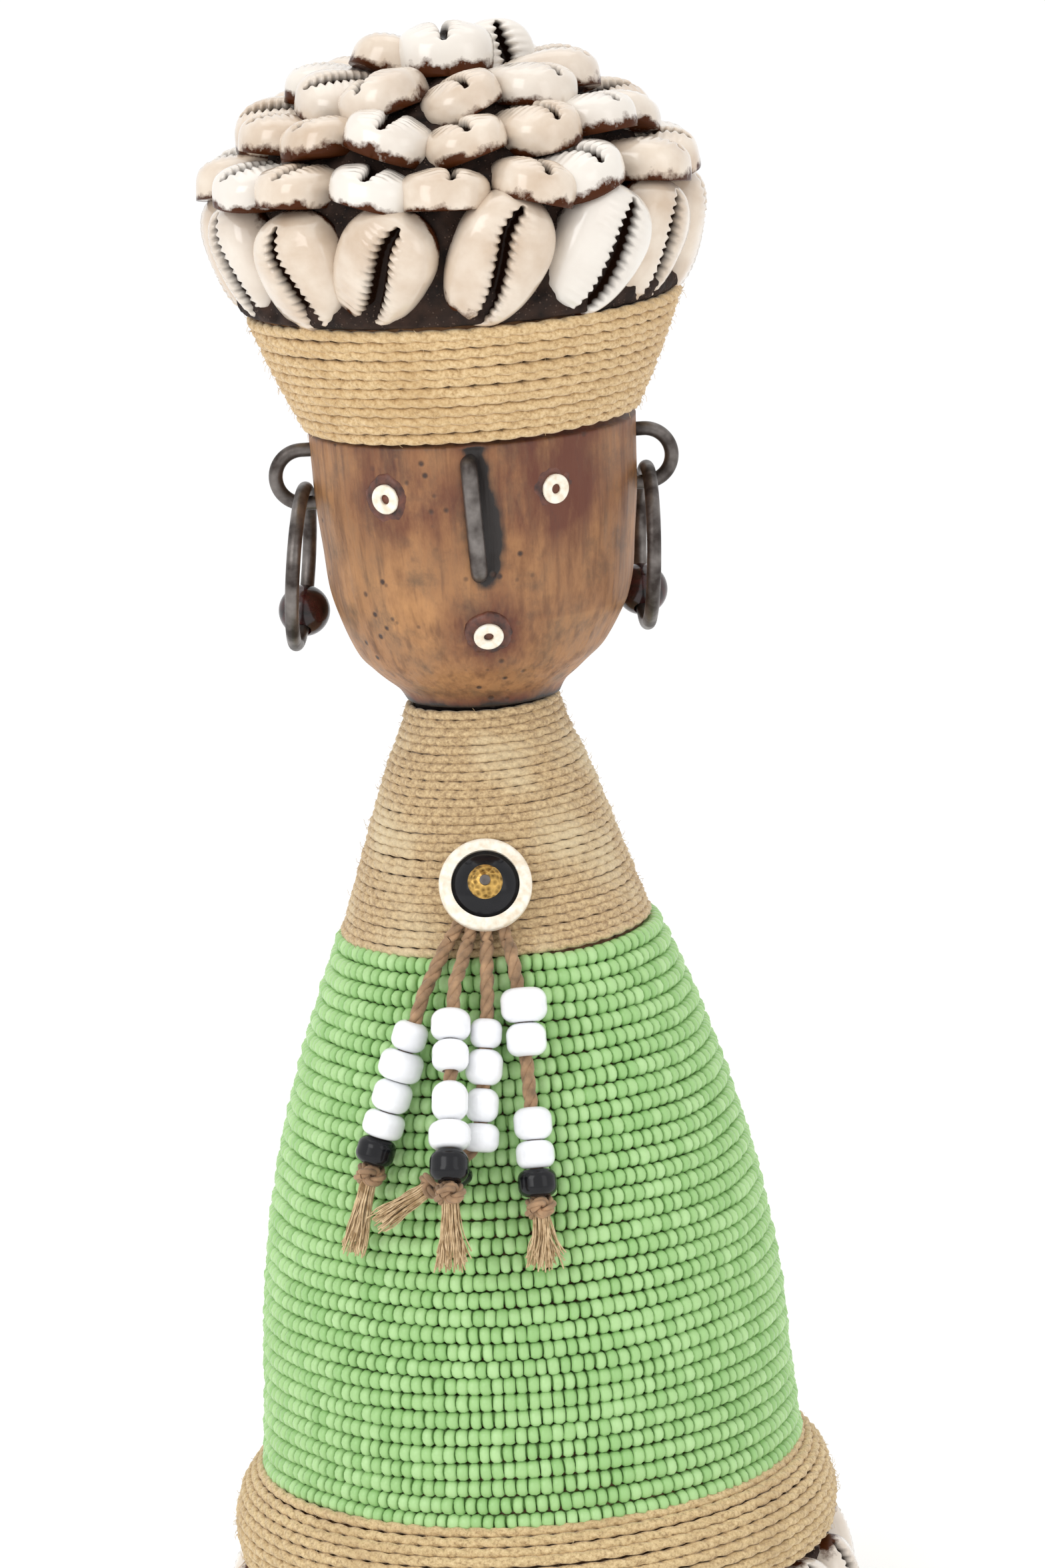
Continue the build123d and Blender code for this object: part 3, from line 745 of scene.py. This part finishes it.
def seed_bead(name, sides):
    """One bead, its hole along Z, with rounded ends."""
    profile = [(0.20, 0.42), (0.38, 0.45), (0.50, 0.20), (0.50, -0.20), (0.38, -0.45), (0.20, -0.42)]
    turns = [2 * pi * side / sides for side in range(sides)]
    points = [(radius * cos(turn), radius * sin(turn), z) for radius, z in profile for turn in turns]
    faces = [(first, *others[::-1]) for first, *others in ring_faces(len(profile), sides)]
    faces.append(tuple(range(sides)))
    faces.append(tuple(range(len(points) - sides, len(points)))[::-1])
    return new_piece(name, points, faces)


def random_vector(tree, low, high, seed):
    """A vector of its own for every instance, between low and high."""
    return result(tree, "FunctionNodeRandomValue", {0: low, 1: high, "Seed": seed}, data_type="FLOAT_VECTOR")


def tint_each(tree, instances, seed):
    """Stores a random number on each instance, for its colour to go by."""
    tint = add_node(tree, "FunctionNodeRandomValue", {"Seed": seed}, data_type="FLOAT").outputs[1]
    inputs = {"Geometry": instances, "Name": "tint", "Value": tint}
    return result(tree, "GeometryNodeStoreNamedAttribute", inputs, data_type="FLOAT", domain="INSTANCE")


# Threads beads on the host's loops, each a little different in size and turn.
string_beads, given, output = new_growth("string_beads", {
    "Bead": "Object", "Spacing": "Float", "Size": "Float",
    "Seed": "Int", "Material": "Material",
})
loops = result(string_beads, "GeometryNodeMeshToCurve", {"Mesh": given["Geometry"]})
holes = add_node(
    string_beads, "GeometryNodeCurveToPoints", {"Curve": loops, "Length": given["Spacing"]},
    mode="LENGTH",
)
bead_shape = add_node(string_beads, "GeometryNodeObjectInfo", {"Object": given["Bead"]})
sizes = random_vector(string_beads, (0.99, 0.99, 0.6), (1.12, 1.12, 0.78), given["Seed"])
sized = vectors(string_beads, "SCALE", sizes, given["Size"])
strung = result(
    string_beads, "GeometryNodeInstanceOnPoints",
    {"Points": holes.outputs[0], "Instance": bead_shape.outputs["Geometry"],
     "Rotation": holes.outputs["Rotation"], "Scale": sized},
)
tips = random_vector(string_beads, (-0.10, -0.10, -3.1), (0.10, 0.10, 3.1), given["Seed"])
tipped = result(string_beads, "GeometryNodeRotateInstances", {"Instances": strung, "Rotation": tips})
shift = (0.13 * mm, 0.13 * mm, 0.16 * mm)
shifts = random_vector(string_beads, [-by for by in shift], shift, 5)
shifted = result(string_beads, "GeometryNodeTranslateInstances", {"Instances": tipped, "Translation": shifts})
tinted = tint_each(string_beads, shifted, 11)
end_growth(string_beads, output, tinted, given["Material"])

# Opaque green glass with a dulled, slightly chalky skin. Each bead's green differs a little.
green_glass, tree, shader, place = new_finish("opaque_green_glass")
own_tint = add_node(tree, "ShaderNodeAttribute", attribute_name="tint")
greens = ramp(tree, own_tint.outputs["Fac"], (0.0, "93BE79"), (1.0, "AED294"), (0.5, "A0C785"))
dust = clouds(tree, place, 500.0, 3.0)
dust_skin = remap(tree, dust, 0.45, 0.75, 0.0, 0.3)
dusted = blend(tree, dust_skin, greens, "8DB372")
feed(tree, shader, {"Base Color": dusted, "Roughness": 0.33, "Specular IOR Level": 0.4})

# The thread is cotton that has taken up green dust and dye from the beads.
green_thread, tree, shader, place = new_finish("dusty_green_thread")
lint = clouds(tree, place, 900.0, 2.0)
lints = ramp(tree, lint, (0.0, "7FA862"), (1.0, "A6CE86"))
feed(tree, shader, {"Base Color": lints, "Roughness": 0.9})

bodice_outline = [
    (47.85, 37.6), (47.2, 43.5), (46.5, 52.0), (46.0, 61.0), (45.3, 70.0), (43.6, 82.0), (41.7, 92.0),
    (38.9, 103.0), (35.3, 115.0), (31.4, 126.0), (26.95, 137.2),
]
bodice_steps = along(bodice_outline, 0.25)
one_bead = seed_bead("seed_bead", 10)
loop_sides = 180
third_rows = seed_rows // 3
for third, name in enumerate(("lower", "middle", "upper")):
    points, edges = [], []
    for row in range(third * third_rows, (third + 1) * third_rows):
        spot = (0.01 + 0.982 * (row + 0.5) / seed_rows) * (len(bodice_steps) - 1)
        radius, height = bodice_steps[int(spot)].lerp(bodice_steps[int(spot) + 1], spot % 1)
        first = len(points)
        for side in range(loop_sides):
            turn = 2 * pi * (side / loop_sides + chance(row * 5.1))
            stray = 0.6 * waver(cos(turn) * 1.8, sin(turn) * 1.8, row * 0.13)
            ripple = 0.35 * waver(cos(turn) * 5, sin(turn) * 5, row * 1.7)
            points.append(round_doll(turn, radius + ripple, height + stray) * mm)
        edges += [(first + side, first + (side + 1) % loop_sides) for side in range(loop_sides)]
    loops_piece = new_piece(f"bodice_threads_{name}", points, [], edges)
    thread_points = [(0.972 * x, 0.972 * y, z) for x, y, z in points]
    thread_lines = new_piece(f"thread_lines_{name}", thread_points, [], edges)
    threads = lay_cord(thread_lines, 1, 1.3, 0.0, 10, 2.6, 6, 0.0, green_thread, f"threads_{name}")
    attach(threads, "doll")
    piece = grow(loops_piece, string_beads, {
        "Bead": one_bead, "Spacing": 2.08 * mm, "Size": seed_size * mm, "Seed": third + 1,
        "Material": green_glass,
    }, f"seed_beads_{name}")
    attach(piece, "doll")
    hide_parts(f"bodice_beads_{name}")
bpy.data.objects.remove(one_bead)

# ---------------- cowrie shells
# Money cowries with their humped backs sawn off flat. The toothed slit faces out; the lips roll
# into it. Polished cream shell, yellowed and stained where the mastic has crept up it.
def turn_outwards(piece, merge=0.0):
    """Turns all faces outwards, after points closer than merge have been joined."""
    form = bmesh.new()
    form.from_mesh(piece.data)
    if merge:
        bmesh.ops.remove_doubles(form, verts=form.verts, dist=merge)
    bmesh.ops.recalc_face_normals(form, faces=form.faces)
    form.to_mesh(piece.data)
    form.free()


def cowrie(name, length, width, thickness, offset, curve, gape):
    """A shell along X with its blunt end at +X and its slit up, in mm, on its sawn face."""
    points, faces, slit_shade_marks, creeps = [], [], [], []
    rows, flank = 78, 8
    lips = [0.0, 0.35, 0.62, 0.86, 1.15, 1.6, 2.25, 3.1]
    lips = [-lip for lip in lips[:0:-1]] + lips
    bottom = width / 2 - thickness
    for row in range(rows + 1):
        turn = pi * row / rows
        u = -cos(turn)
        x = (0.38 if u > 0 else 0.62) * length * u
        part = sin(turn) ** 0.82
        half = 0.5 * width * part
        top = bottom + thickness * sin(turn) ** 0.45
        waist = bottom + 0.38 * (top - bottom)
        slit = part * width * (offset + curve * sin(2.3 * u + 0.5))
        side_line = []
        for step in range(flank):
            angle = -1.95 + 1.23 * step / flank
            if cos(angle) > 0:
                rise = (top - waist) * cos(angle) ** 0.66
            else:
                rise = (waist - bottom) * cos(angle) / 0.3702
            side_line.append((half * sin(angle), waist + rise))
        columns = list(side_line)
        for lip in lips:
            y = slit + lip * part * width / 15
            share = min(0.999, abs(y / half)) if half > 1e-6 else 0.0
            columns.append((y, waist + (top - waist) * (1 - share * share) ** 0.33))
        columns += [(-y, z) for y, z in side_line[::-1]]
        open_by = (0.6 + gape * (1 - 0.7 * u)) * width / 15
        mouth = min(1.0, max(0.0, (0.9 - u) / 0.12)) * min(1.0, max(0.0, (0.97 + u) / 0.1))
        for column, (y, z) in enumerate(columns):
            away = abs(y - slit)
            ridge = cos(2 * pi * x / 1.45 + (0.9 if y > slit else 0.0)) * min(1.0, max(0.0, 2.6 * part - 0.9))
            edge = max(0.05, part * (open_by - 0.22 * ridge))
            cleft = mouth / (1 + (away / edge) ** 5) if half > 0.05 else 0.0
            on_lip = exp(-(((away - edge - 0.7) / 1.0) ** 2))
            drop = 2.7 * cleft + 0.5 * part * exp(-((away / (edge + 1.3)) ** 2))
            if flank <= column < flank + len(lips):
                z = z - min(drop, 0.55 * (z - bottom)) + 0.20 * ridge * on_lip * part
            points.append((x * mm, y * mm, z * mm))
            # The cleft mark is painted shade: deep in the slit, and a little in the hollows between the teeth
            # on the lips.
            slit_shade_marks.append(min(1.0, cleft + 0.22 * on_lip * (0.5 - 0.5 * ridge)))
            low = 1 - (z - bottom) / (0.5 * thickness)
            creeps.append(max(0.0, min(1.0, max(low, (-u - 0.62) * 2.2))))
    wide = len(columns)
    for row in range(rows):
        for column in range(wide - 1):
            a = row * wide + column
            faces.append((a, a + wide, a + wide + 1, a + 1))
        a = row * wide
        faces.append((a, a + wide - 1, a + 2 * wide - 1, a + wide))
    shell = new_piece(name, points, faces)
    mark(shell, "cleft", slit_shade_marks)
    mark(shell, "creep", creeps)
    turn_outwards(shell, merge=0.004 * mm)
    return shell


# Polished shell: cream with a warm grey cast, brown where resin has stained it, and near-black painted shade
# in the slit and in the hollows between its teeth.
polished_shell, tree, shader, place = new_finish("polished_shell")
cloud = clouds(tree, place, 130.0, 4.0)
creams = ramp(tree, cloud, (0.3, "C3AD96"), (0.66, "DCCEBD"))
own_tint = add_node(tree, "ShaderNodeAttribute", attribute_name="tint")
bleach = remap(tree, own_tint.outputs["Fac"], 0.55, 0.95, 0.0, 0.6)
bleached = blend(tree, bleach, creams, "E6E4DF")
speckle = clouds(tree, place, 120.0, 6.0, roughness=0.65)
stain_edge = add_node(tree, "ShaderNodeAttribute", attribute_name="creep")
blotches = maths(tree, "MULTIPLY_ADD", speckle, 2.4, -0.75)
ragged = maths(tree, "ADD", stain_edge.outputs["Fac"], blotches)
crept = remap(tree, ragged, 1.02, 1.28)
browned = blend(tree, crept, bleached, "472411")
# Near-black painted shade in the slit and between its teeth.
cleft_shade_amount = add_node(tree, "ShaderNodeAttribute", attribute_name="cleft")
cleft_shade = remap(tree, cleft_shade_amount.outputs["Fac"], 0.16, 0.62)
darkened = blend(tree, cleft_shade, browned, "1E1009")
scuffs = clouds(tree, place, 350.0, 3.0)
gloss = remap(tree, scuffs, 0.3, 0.7, 0.14, 0.26)
lift = bumps(tree, scuffs, 0.12, 0.3 * mm)
# Coat and specular fade where the resin stain and the painted slit shade lie.
stain_and_slit_shade = maths(tree, "MAXIMUM", crept, cleft_shade)
wet = remap(tree, stain_and_slit_shade, 0.0, 1.0, 0.6, 0.0)
bare = remap(tree, stain_and_slit_shade, 0.0, 1.0, 0.5, 0.08)
feed(tree, shader, {
    "Base Color": darkened, "Roughness": gloss, "Normal": lift, "IOR": 1.53, "Coat Weight": wet,
    "Coat Roughness": 0.12, "Specular IOR Level": bare,
})

# Sets a shell on each of the host's points, turned as the point's own attribute says.
set_shells, given, output = new_growth("set_shells", {
    "Shells": "Collection", "Seed": "Int", "Material": "Material",
})
shapes = result(
    set_shells, "GeometryNodeCollectionInfo", {"Collection": given["Shells"], "Separate Children": True}
)
turns_of = result(set_shells, "GeometryNodeInputNamedAttribute", {"Name": "turns"}, data_type="FLOAT_VECTOR")
pick = add_node(set_shells, "FunctionNodeRandomValue", {4: 0, 5: 2, "Seed": given["Seed"]}, data_type="INT")
growths = random_vector(set_shells, (0.94, 0.92, 0.92), (1.05, 1.04, 1.05), given["Seed"])
planted = result(
    set_shells, "GeometryNodeInstanceOnPoints",
    {"Points": given["Geometry"], "Instance": shapes, "Pick Instance": True,
     "Instance Index": pick.outputs[2], "Rotation": turns_of, "Scale": growths},
)
tinted = tint_each(set_shells, planted, given["Seed"])
end_growth(set_shells, output, tinted, given["Material"])


def shell_posts(name, radius, height, azimuths, rolls, rises, tip, uneven):
    """Points round the doll for shells. Azimuth 0 is the front; roll leans a shell to its left."""
    points, turns = [], []
    for number, (azimuth, roll, lift_by) in enumerate(zip(azimuths, rolls, rises)):
        out = radius + uneven * sway_by(number * 3.3 + radius)
        rise = height + lift_by + uneven * sway_by(number * 5.9 + radius)
        points.append(round_doll(radians(azimuth), out, rise) * mm)
        yaw = 3 * uneven * tip * sway_by(number * 4.7 + radius)
        nod = tip + 6 * sway_by(number * 8.1 + radius)
        turns.append((radians(roll), radians(nod), radians(azimuth - 90 + yaw)))
    posts = new_piece(name, points, [])
    layer = posts.data.attributes.new("turns", "FLOAT_VECTOR", "POINT")
    for index, turn in enumerate(turns):
        layer.data[index].vector = turn
    return posts


def shell_shapes(name, size, stand=None):
    """Three shells of one size in a collection of their own. stand is (lean, up) in degrees."""
    length, width, thickness = size
    drawer = bpy.data.collections.new(name)
    bpy.context.scene.collection.children.link(drawer)
    slits = [(-0.04, 0.09, 0.34), (-0.08, 0.07, 0.5), (-0.02, 0.11, 0.25)]
    for number, slit in enumerate(slits):
        shell = cowrie(f"{name}_{number}", length, width, thickness, *slit)
        if stand:
            lean, up = radians(stand[0]), stand[1]
            axis = Vector((sin(lean), 0, up * cos(lean)))
            face = Vector((cos(lean), 0, -up * sin(lean)))
            shell.data.transform(Matrix((axis, face.cross(axis), face)).transposed().to_4x4())
        bpy.context.scene.collection.objects.unlink(shell)
        drawer.objects.link(shell)
    return drawer


# The rim's front shells lean over one another; the rest are spaced as listed.
rim_azimuths = [-69.5, -43.5, -16.5, 13.2, 41.5, 61.0] + [61.0 + 25.5 * step for step in range(1, 9)]
rim_rolls = [6, 4, -31, -28, -30, -17, 6, -12, 9, 0, -15, 8, -6, 10]
rim_rises = [0.5, -0.3, 0, 1.0, 1.0, 0.6, 0, 0, 0, 0, 0, 0, 0, 0]
# Each ring: shell size, (lean, up) where the shells stand, radius, height, azimuths, rolls, tip
# and unevenness. The evenly laid rings give a number of shells and a start azimuth instead.
shell_rings = [
    ("crown_shells_rim", (23.2, 17.2, 9.2), (15, 1), 35.6, 261.9, rim_azimuths, rim_rolls, 0, 0.4),
    ("crown_shells_tier_two", (20.5, 15.6, 7.6), None, 36.6, 269.0, 17, -1.5, -4, 0.9),
    ("crown_shells_tier_three", (20.5, 15.3, 7.6), None, 29.2, 276.9, 14, 5.3, -4, 0.9),
    ("crown_shells_tier_four", (19.5, 15.2, 7.6), None, 20.6, 283.6, 10, 8.0, -4, 0.9),
    ("hem_shells", (19.8, 16.4, 9.0), (4, -1), 50.4, 10.2, 20, 9.0, 0, 0.5),
]
for number, (node, size, stand, radius, height, azimuths, rolls, tip, uneven) in enumerate(shell_rings):
    rises = rim_rises
    if isinstance(azimuths, int):
        count, start = azimuths, rolls
        azimuths = [
            start + 360 * step / count + 3 * sway_by(step * 2.3 + count) for step in range(count)
        ]
        swing_by = 9 if stand else 25
        rolls = [swing_by * sway_by(step * 7.7 + count) for step in range(count)]
        rises = [0] * count
    drawer = shell_shapes(f"{node}_shapes", size, stand)
    host = shell_posts(f"{node}_posts", radius, height, azimuths, rolls, rises, tip, uneven)
    piece = grow(host, set_shells, {
        "Shells": drawer, "Seed": 7 + number, "Material": polished_shell,
    }, f"cowries_{node}")
    for shell in list(drawer.objects):
        bpy.data.objects.remove(shell)
    bpy.data.collections.remove(drawer)
    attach(piece, "doll")
    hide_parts(node)

# Three shells crown the top: a bleached one facing front, one upright behind it, and one that
# rises to the doll's right.
top_places = [
    ((0.5, -5.0, 289.4), (0, -3, -88), (20.5, 17.0, 9.4)),
    ((8.5, 3.5, 290.0), (0, -74, 112), (17.0, 13.5, 7.0)),
    ((-9.0, -2.0, 288.6), (10, -26, -168), (20.5, 13.8, 7.4)),
]
for number, (spot, turn, size) in enumerate(top_places):
    shell = cowrie(f"top_cowrie_{number}", *size, -0.06, 0.05, 0.35)
    set_by = Matrix.Rotation(radians(turn[2]), 4, "Z") @ Matrix.Rotation(radians(turn[1]), 4, "Y")
    set_by = set_by @ Matrix.Rotation(radians(turn[0]), 4, "X")
    shell.data.transform(Matrix.Translation(Vector(spot) * mm) @ set_by)
    mark(shell, "tint", [0.3 if number == 2 else 0.97] * len(shell.data.vertices))
    skin(shell, polished_shell)
    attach(shell, "doll")
    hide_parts("crown_shells_top")

# ---------------- mastic
# Boiled resin stirred up with grit and charcoal. It was pressed on warm by hand, and the shells
# were pushed into it, so it stands up in lumps between them.
def lumpy(scale, rise):
    """A shape for turned pieces: lumps as high as rise, finer as scale grows."""
    def shape(turn, radius, height):
        x, y = radius * sin(turn), -radius * cos(turn)
        spot = Vector((x, y, height))
        lump = rise * (noise.noise(spot * scale) + 0.5 * noise.noise(spot * scale * 2.7))
        if radius < 1:
            lump = 0
        out = (radius + lump) / max(radius, 0.001)
        return (x * out * mm, y * out * mm, (height + 0.4 * lump * (radius > 1)) * mm)
    return shape


gritty_mastic, tree, shader, place = new_finish("gritty_mastic")
clots = clouds(tree, place, 260.0, 5.0)
darks = ramp(tree, clots, (0.3, "120D0B"), (0.75, "3B2920"))
grit = add_node(tree, "ShaderNodeTexVoronoi", {"Vector": place, "Scale": 1100.0})
grains = remap(tree, grit.outputs["Distance"], 0.12, 0.3, 1.0, 0.0)
pale_grains = maths(tree, "MULTIPLY", grains, 0.3)
gritty = blend(tree, pale_grains, darks, "8C7466")
rough_top = maths(tree, "ADD", clots, grains)
lift = bumps(tree, rough_top, 0.8, 0.5 * mm)
feed(tree, shader, {"Base Color": gritty, "Normal": lift, "Roughness": 0.85, "Specular IOR Level": 0.25})

crown_rows = along([
    (30.0, 248.9), (36.8, 248.9), (38.4, 250.6), (37.8, 257.0), (37.2, 264.0), (36.0, 271.0), (31.5, 276.5),
    (24.0, 282.5), (14.0, 287.5), (5.0, 289.6), (0.4, 289.8),
], 0.7)
crown_bed = turned_piece("crown_mastic_bed", [tuple(row) for row in crown_rows], 200, lumpy(0.28, 1.3))
hem_side = along([(52.6, 20.0), (53.0, 14.0), (52.0, 8.0), (50.4, 2.2)], 0.8)
hem_rows = [(47.0, 20.4), (52.2, 20.6), *[tuple(row) for row in hem_side], (47.0, 1.8)]
hem_bed = turned_piece("hem_mastic_bed", hem_rows[::-1], 240, lumpy(0.3, 0.7))
for piece, node in ((crown_bed, "crown_mastic"), (hem_bed, "hem_mastic")):
    turn_outwards(piece)
    skin(piece, gritty_mastic)
    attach(piece, "doll")
    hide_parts(node)

# ---------------- face
# Each eye and the mouth is a turned bone bead pressed into a blob of red-brown mastic, which has
# filled its hole. The nose is a stout iron staple.
red_mastic, tree, shader, place = new_finish("red_mastic")
clots = clouds(tree, place, 480.0, 5.0)
reds = ramp(tree, clots, (0.3, "2B1713"), (0.72, "70402F"))
lift = bumps(tree, clots, 0.7, 0.5 * mm)
feed(tree, shader, {"Base Color": reds, "Normal": lift, "Roughness": 0.45})

for number, (name, (azimuth, height, radius, fall)) in enumerate(face_spots.items()):
    a, tip = radians(azimuth), radians(fall)
    out = Vector((sin(a) * cos(tip), -cos(a) * cos(tip), -sin(tip)))
    right = Vector((cos(a), sin(a), 0))
    up = right.cross(out) * -1
    middle = round_doll(a, radius, height)
    points = []
    profile = [
        (0.0, 0.42), (0.8, 0.42), (1.0, 0.1), (2.3, 0.1), (2.75, 0.5), (3.4, 0.42), (4.0, 0.1), (4.35, -0.5),
        (3.8, -2.2), (0.0, -2.2),
    ]
    sides = 48
    for ring, (reach, rise) in enumerate(profile):
        for side in range(sides):
            turn = 2 * pi * side / sides
            ragged_by = 1.0
            if 2.5 < reach and ring < 8:
                ragged_by += 0.16 * waver(cos(turn) * 1.6, sin(turn) * 1.6, number * 9.1)
                ragged_by += 0.07 * waver(cos(turn) * 5, sin(turn) * 5, number * 3.1)
            lump = 0.0
            if ring:
                lump = 0.16 * waver(reach * cos(turn), reach * sin(turn), number * 5.0)
            wide = reach * ragged_by
            spot = middle + right * (wide * cos(turn)) + up * (wide * sin(turn))
            points.append((spot + out * (rise + lump)) * mm)
    bed = new_piece(f"{name}_bed", points, ring_faces(len(profile), sides))
    turn_outwards(bed, merge=0.01 * mm)
    skin(bed, red_mastic)
    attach(bed, "doll")
    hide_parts(f"{name}_mastic")


def dress(node, material):
    """Gives a node that keeps its shape a finish."""
    mesh = frame["nodes"][node].data
    mesh.materials.clear()
    mesh.materials.append(material)


# Bone turned and rubbed smooth: ivory, yellower in its pores, with a soft polish.
rubbed_bone, tree, shader, place = new_finish("rubbed_bone")
pores = clouds(tree, place, 800.0, 4.0)
ivories = ramp(tree, pores, (0.3, "DCCDB4"), (0.62, "F1EADC"))
lift = bumps(tree, pores, 0.2, 0.2 * mm)
feed(tree, shader, {"Base Color": ivories, "Normal": lift, "Roughness": 0.38})
for node in ("eye_left_bead", "eye_right_bead", "mouth_bead", "button_ring"):
    dress(node, rubbed_bone)

# Drawn iron wire, black from the forge and worn grey along the high side.
worn_iron, tree, shader, place = new_finish("worn_iron_wire")
wear = clouds(tree, place, 220.0, 5.0)
greys = ramp(tree, wear, (0.35, "3B3431"), (0.7, "827C78"))
rub = remap(tree, wear, 0.35, 0.7, 0.5, 0.3)
hammer = clouds(tree, place, 600.0, 2.0)
lift = bumps(tree, hammer, 0.25, 0.3 * mm)
feed(tree, shader, {"Base Color": greys, "Roughness": rub, "Normal": lift, "Metallic": 0.85})
for node in ("nose_staple", "ear_loop_left", "ear_loop_right", "earring_left_ring", "earring_right_ring",
             "button_pin"):
    dress(node, worn_iron)

# ---------------- earring beads, button and strand beads
# The earring beads are wound glass, so dark a red that it looks black.
dark_red_glass, tree, shader, place = new_finish("dark_red_glass")
swirl = clouds(tree, place, 260.0, 3.0, distortion=1.5)
reds = ramp(tree, swirl, (0.35, "110C0C"), (0.75, "3F1512"))
feed(tree, shader, {"Base Color": reds, "Roughness": 0.16})
for node in ("earring_left_bead", "earring_right_bead"):
    dress(node, dark_red_glass)

# The button's dome and the last bead of each strand are pressed black glass.
black_glass, tree, shader, place = new_finish("pressed_black_glass")
haze = clouds(tree, place, 300.0, 3.0)
blacks = ramp(tree, haze, (0.0, "08080A"), (1.0, "1B1B1F"))
shine = remap(tree, haze, 0.0, 1.0, 0.08, 0.24)
feed(tree, shader, {"Base Color": blacks, "Roughness": shine, "Specular IOR Level": 0.28})
for node in ("button_dome", "strand_one_black_bead", "strand_two_black_bead", "strand_three_black_bead",
             "strand_four_black_bead"):
    dress(node, black_glass)

# A little cap of brass, hammered over the pin, brown in its dents.
hammered_brass, tree, shader, place = new_finish("hammered_brass")
blows = add_node(tree, "ShaderNodeTexVoronoi", {"Vector": place, "Scale": 1100.0})
golds = ramp(tree, blows.outputs["Distance"], (0.0, "5E4520"), (0.7, "C9A25A"))
lift = bumps(tree, blows.outputs["Distance"], 0.8, 0.4 * mm)
feed(tree, shader, {"Base Color": golds, "Normal": lift, "Metallic": 0.9, "Roughness": 0.36})
dress("button_cap", hammered_brass)

# White glass beads, wound thick and left a little uneven, with a wet-looking gloss.
white_glass, tree, shader, place = new_finish("wound_white_glass")
milk = clouds(tree, place, 200.0, 3.0)
whites = ramp(tree, milk, (0.3, "E4E5E8"), (0.7, "F6F7F9"))
lift = bumps(tree, milk, 0.25, 0.6 * mm)
feed(tree, shader, {"Base Color": whites, "Normal": lift, "Roughness": 0.14, "Coat Weight": 0.3})
for node in ("strand_one_white_beads", "strand_two_white_beads", "strand_two_sliding_pair",
             "strand_three_white_beads", "strand_four_sliding_pair", "strand_four_white_beads"):
    dress(node, white_glass)
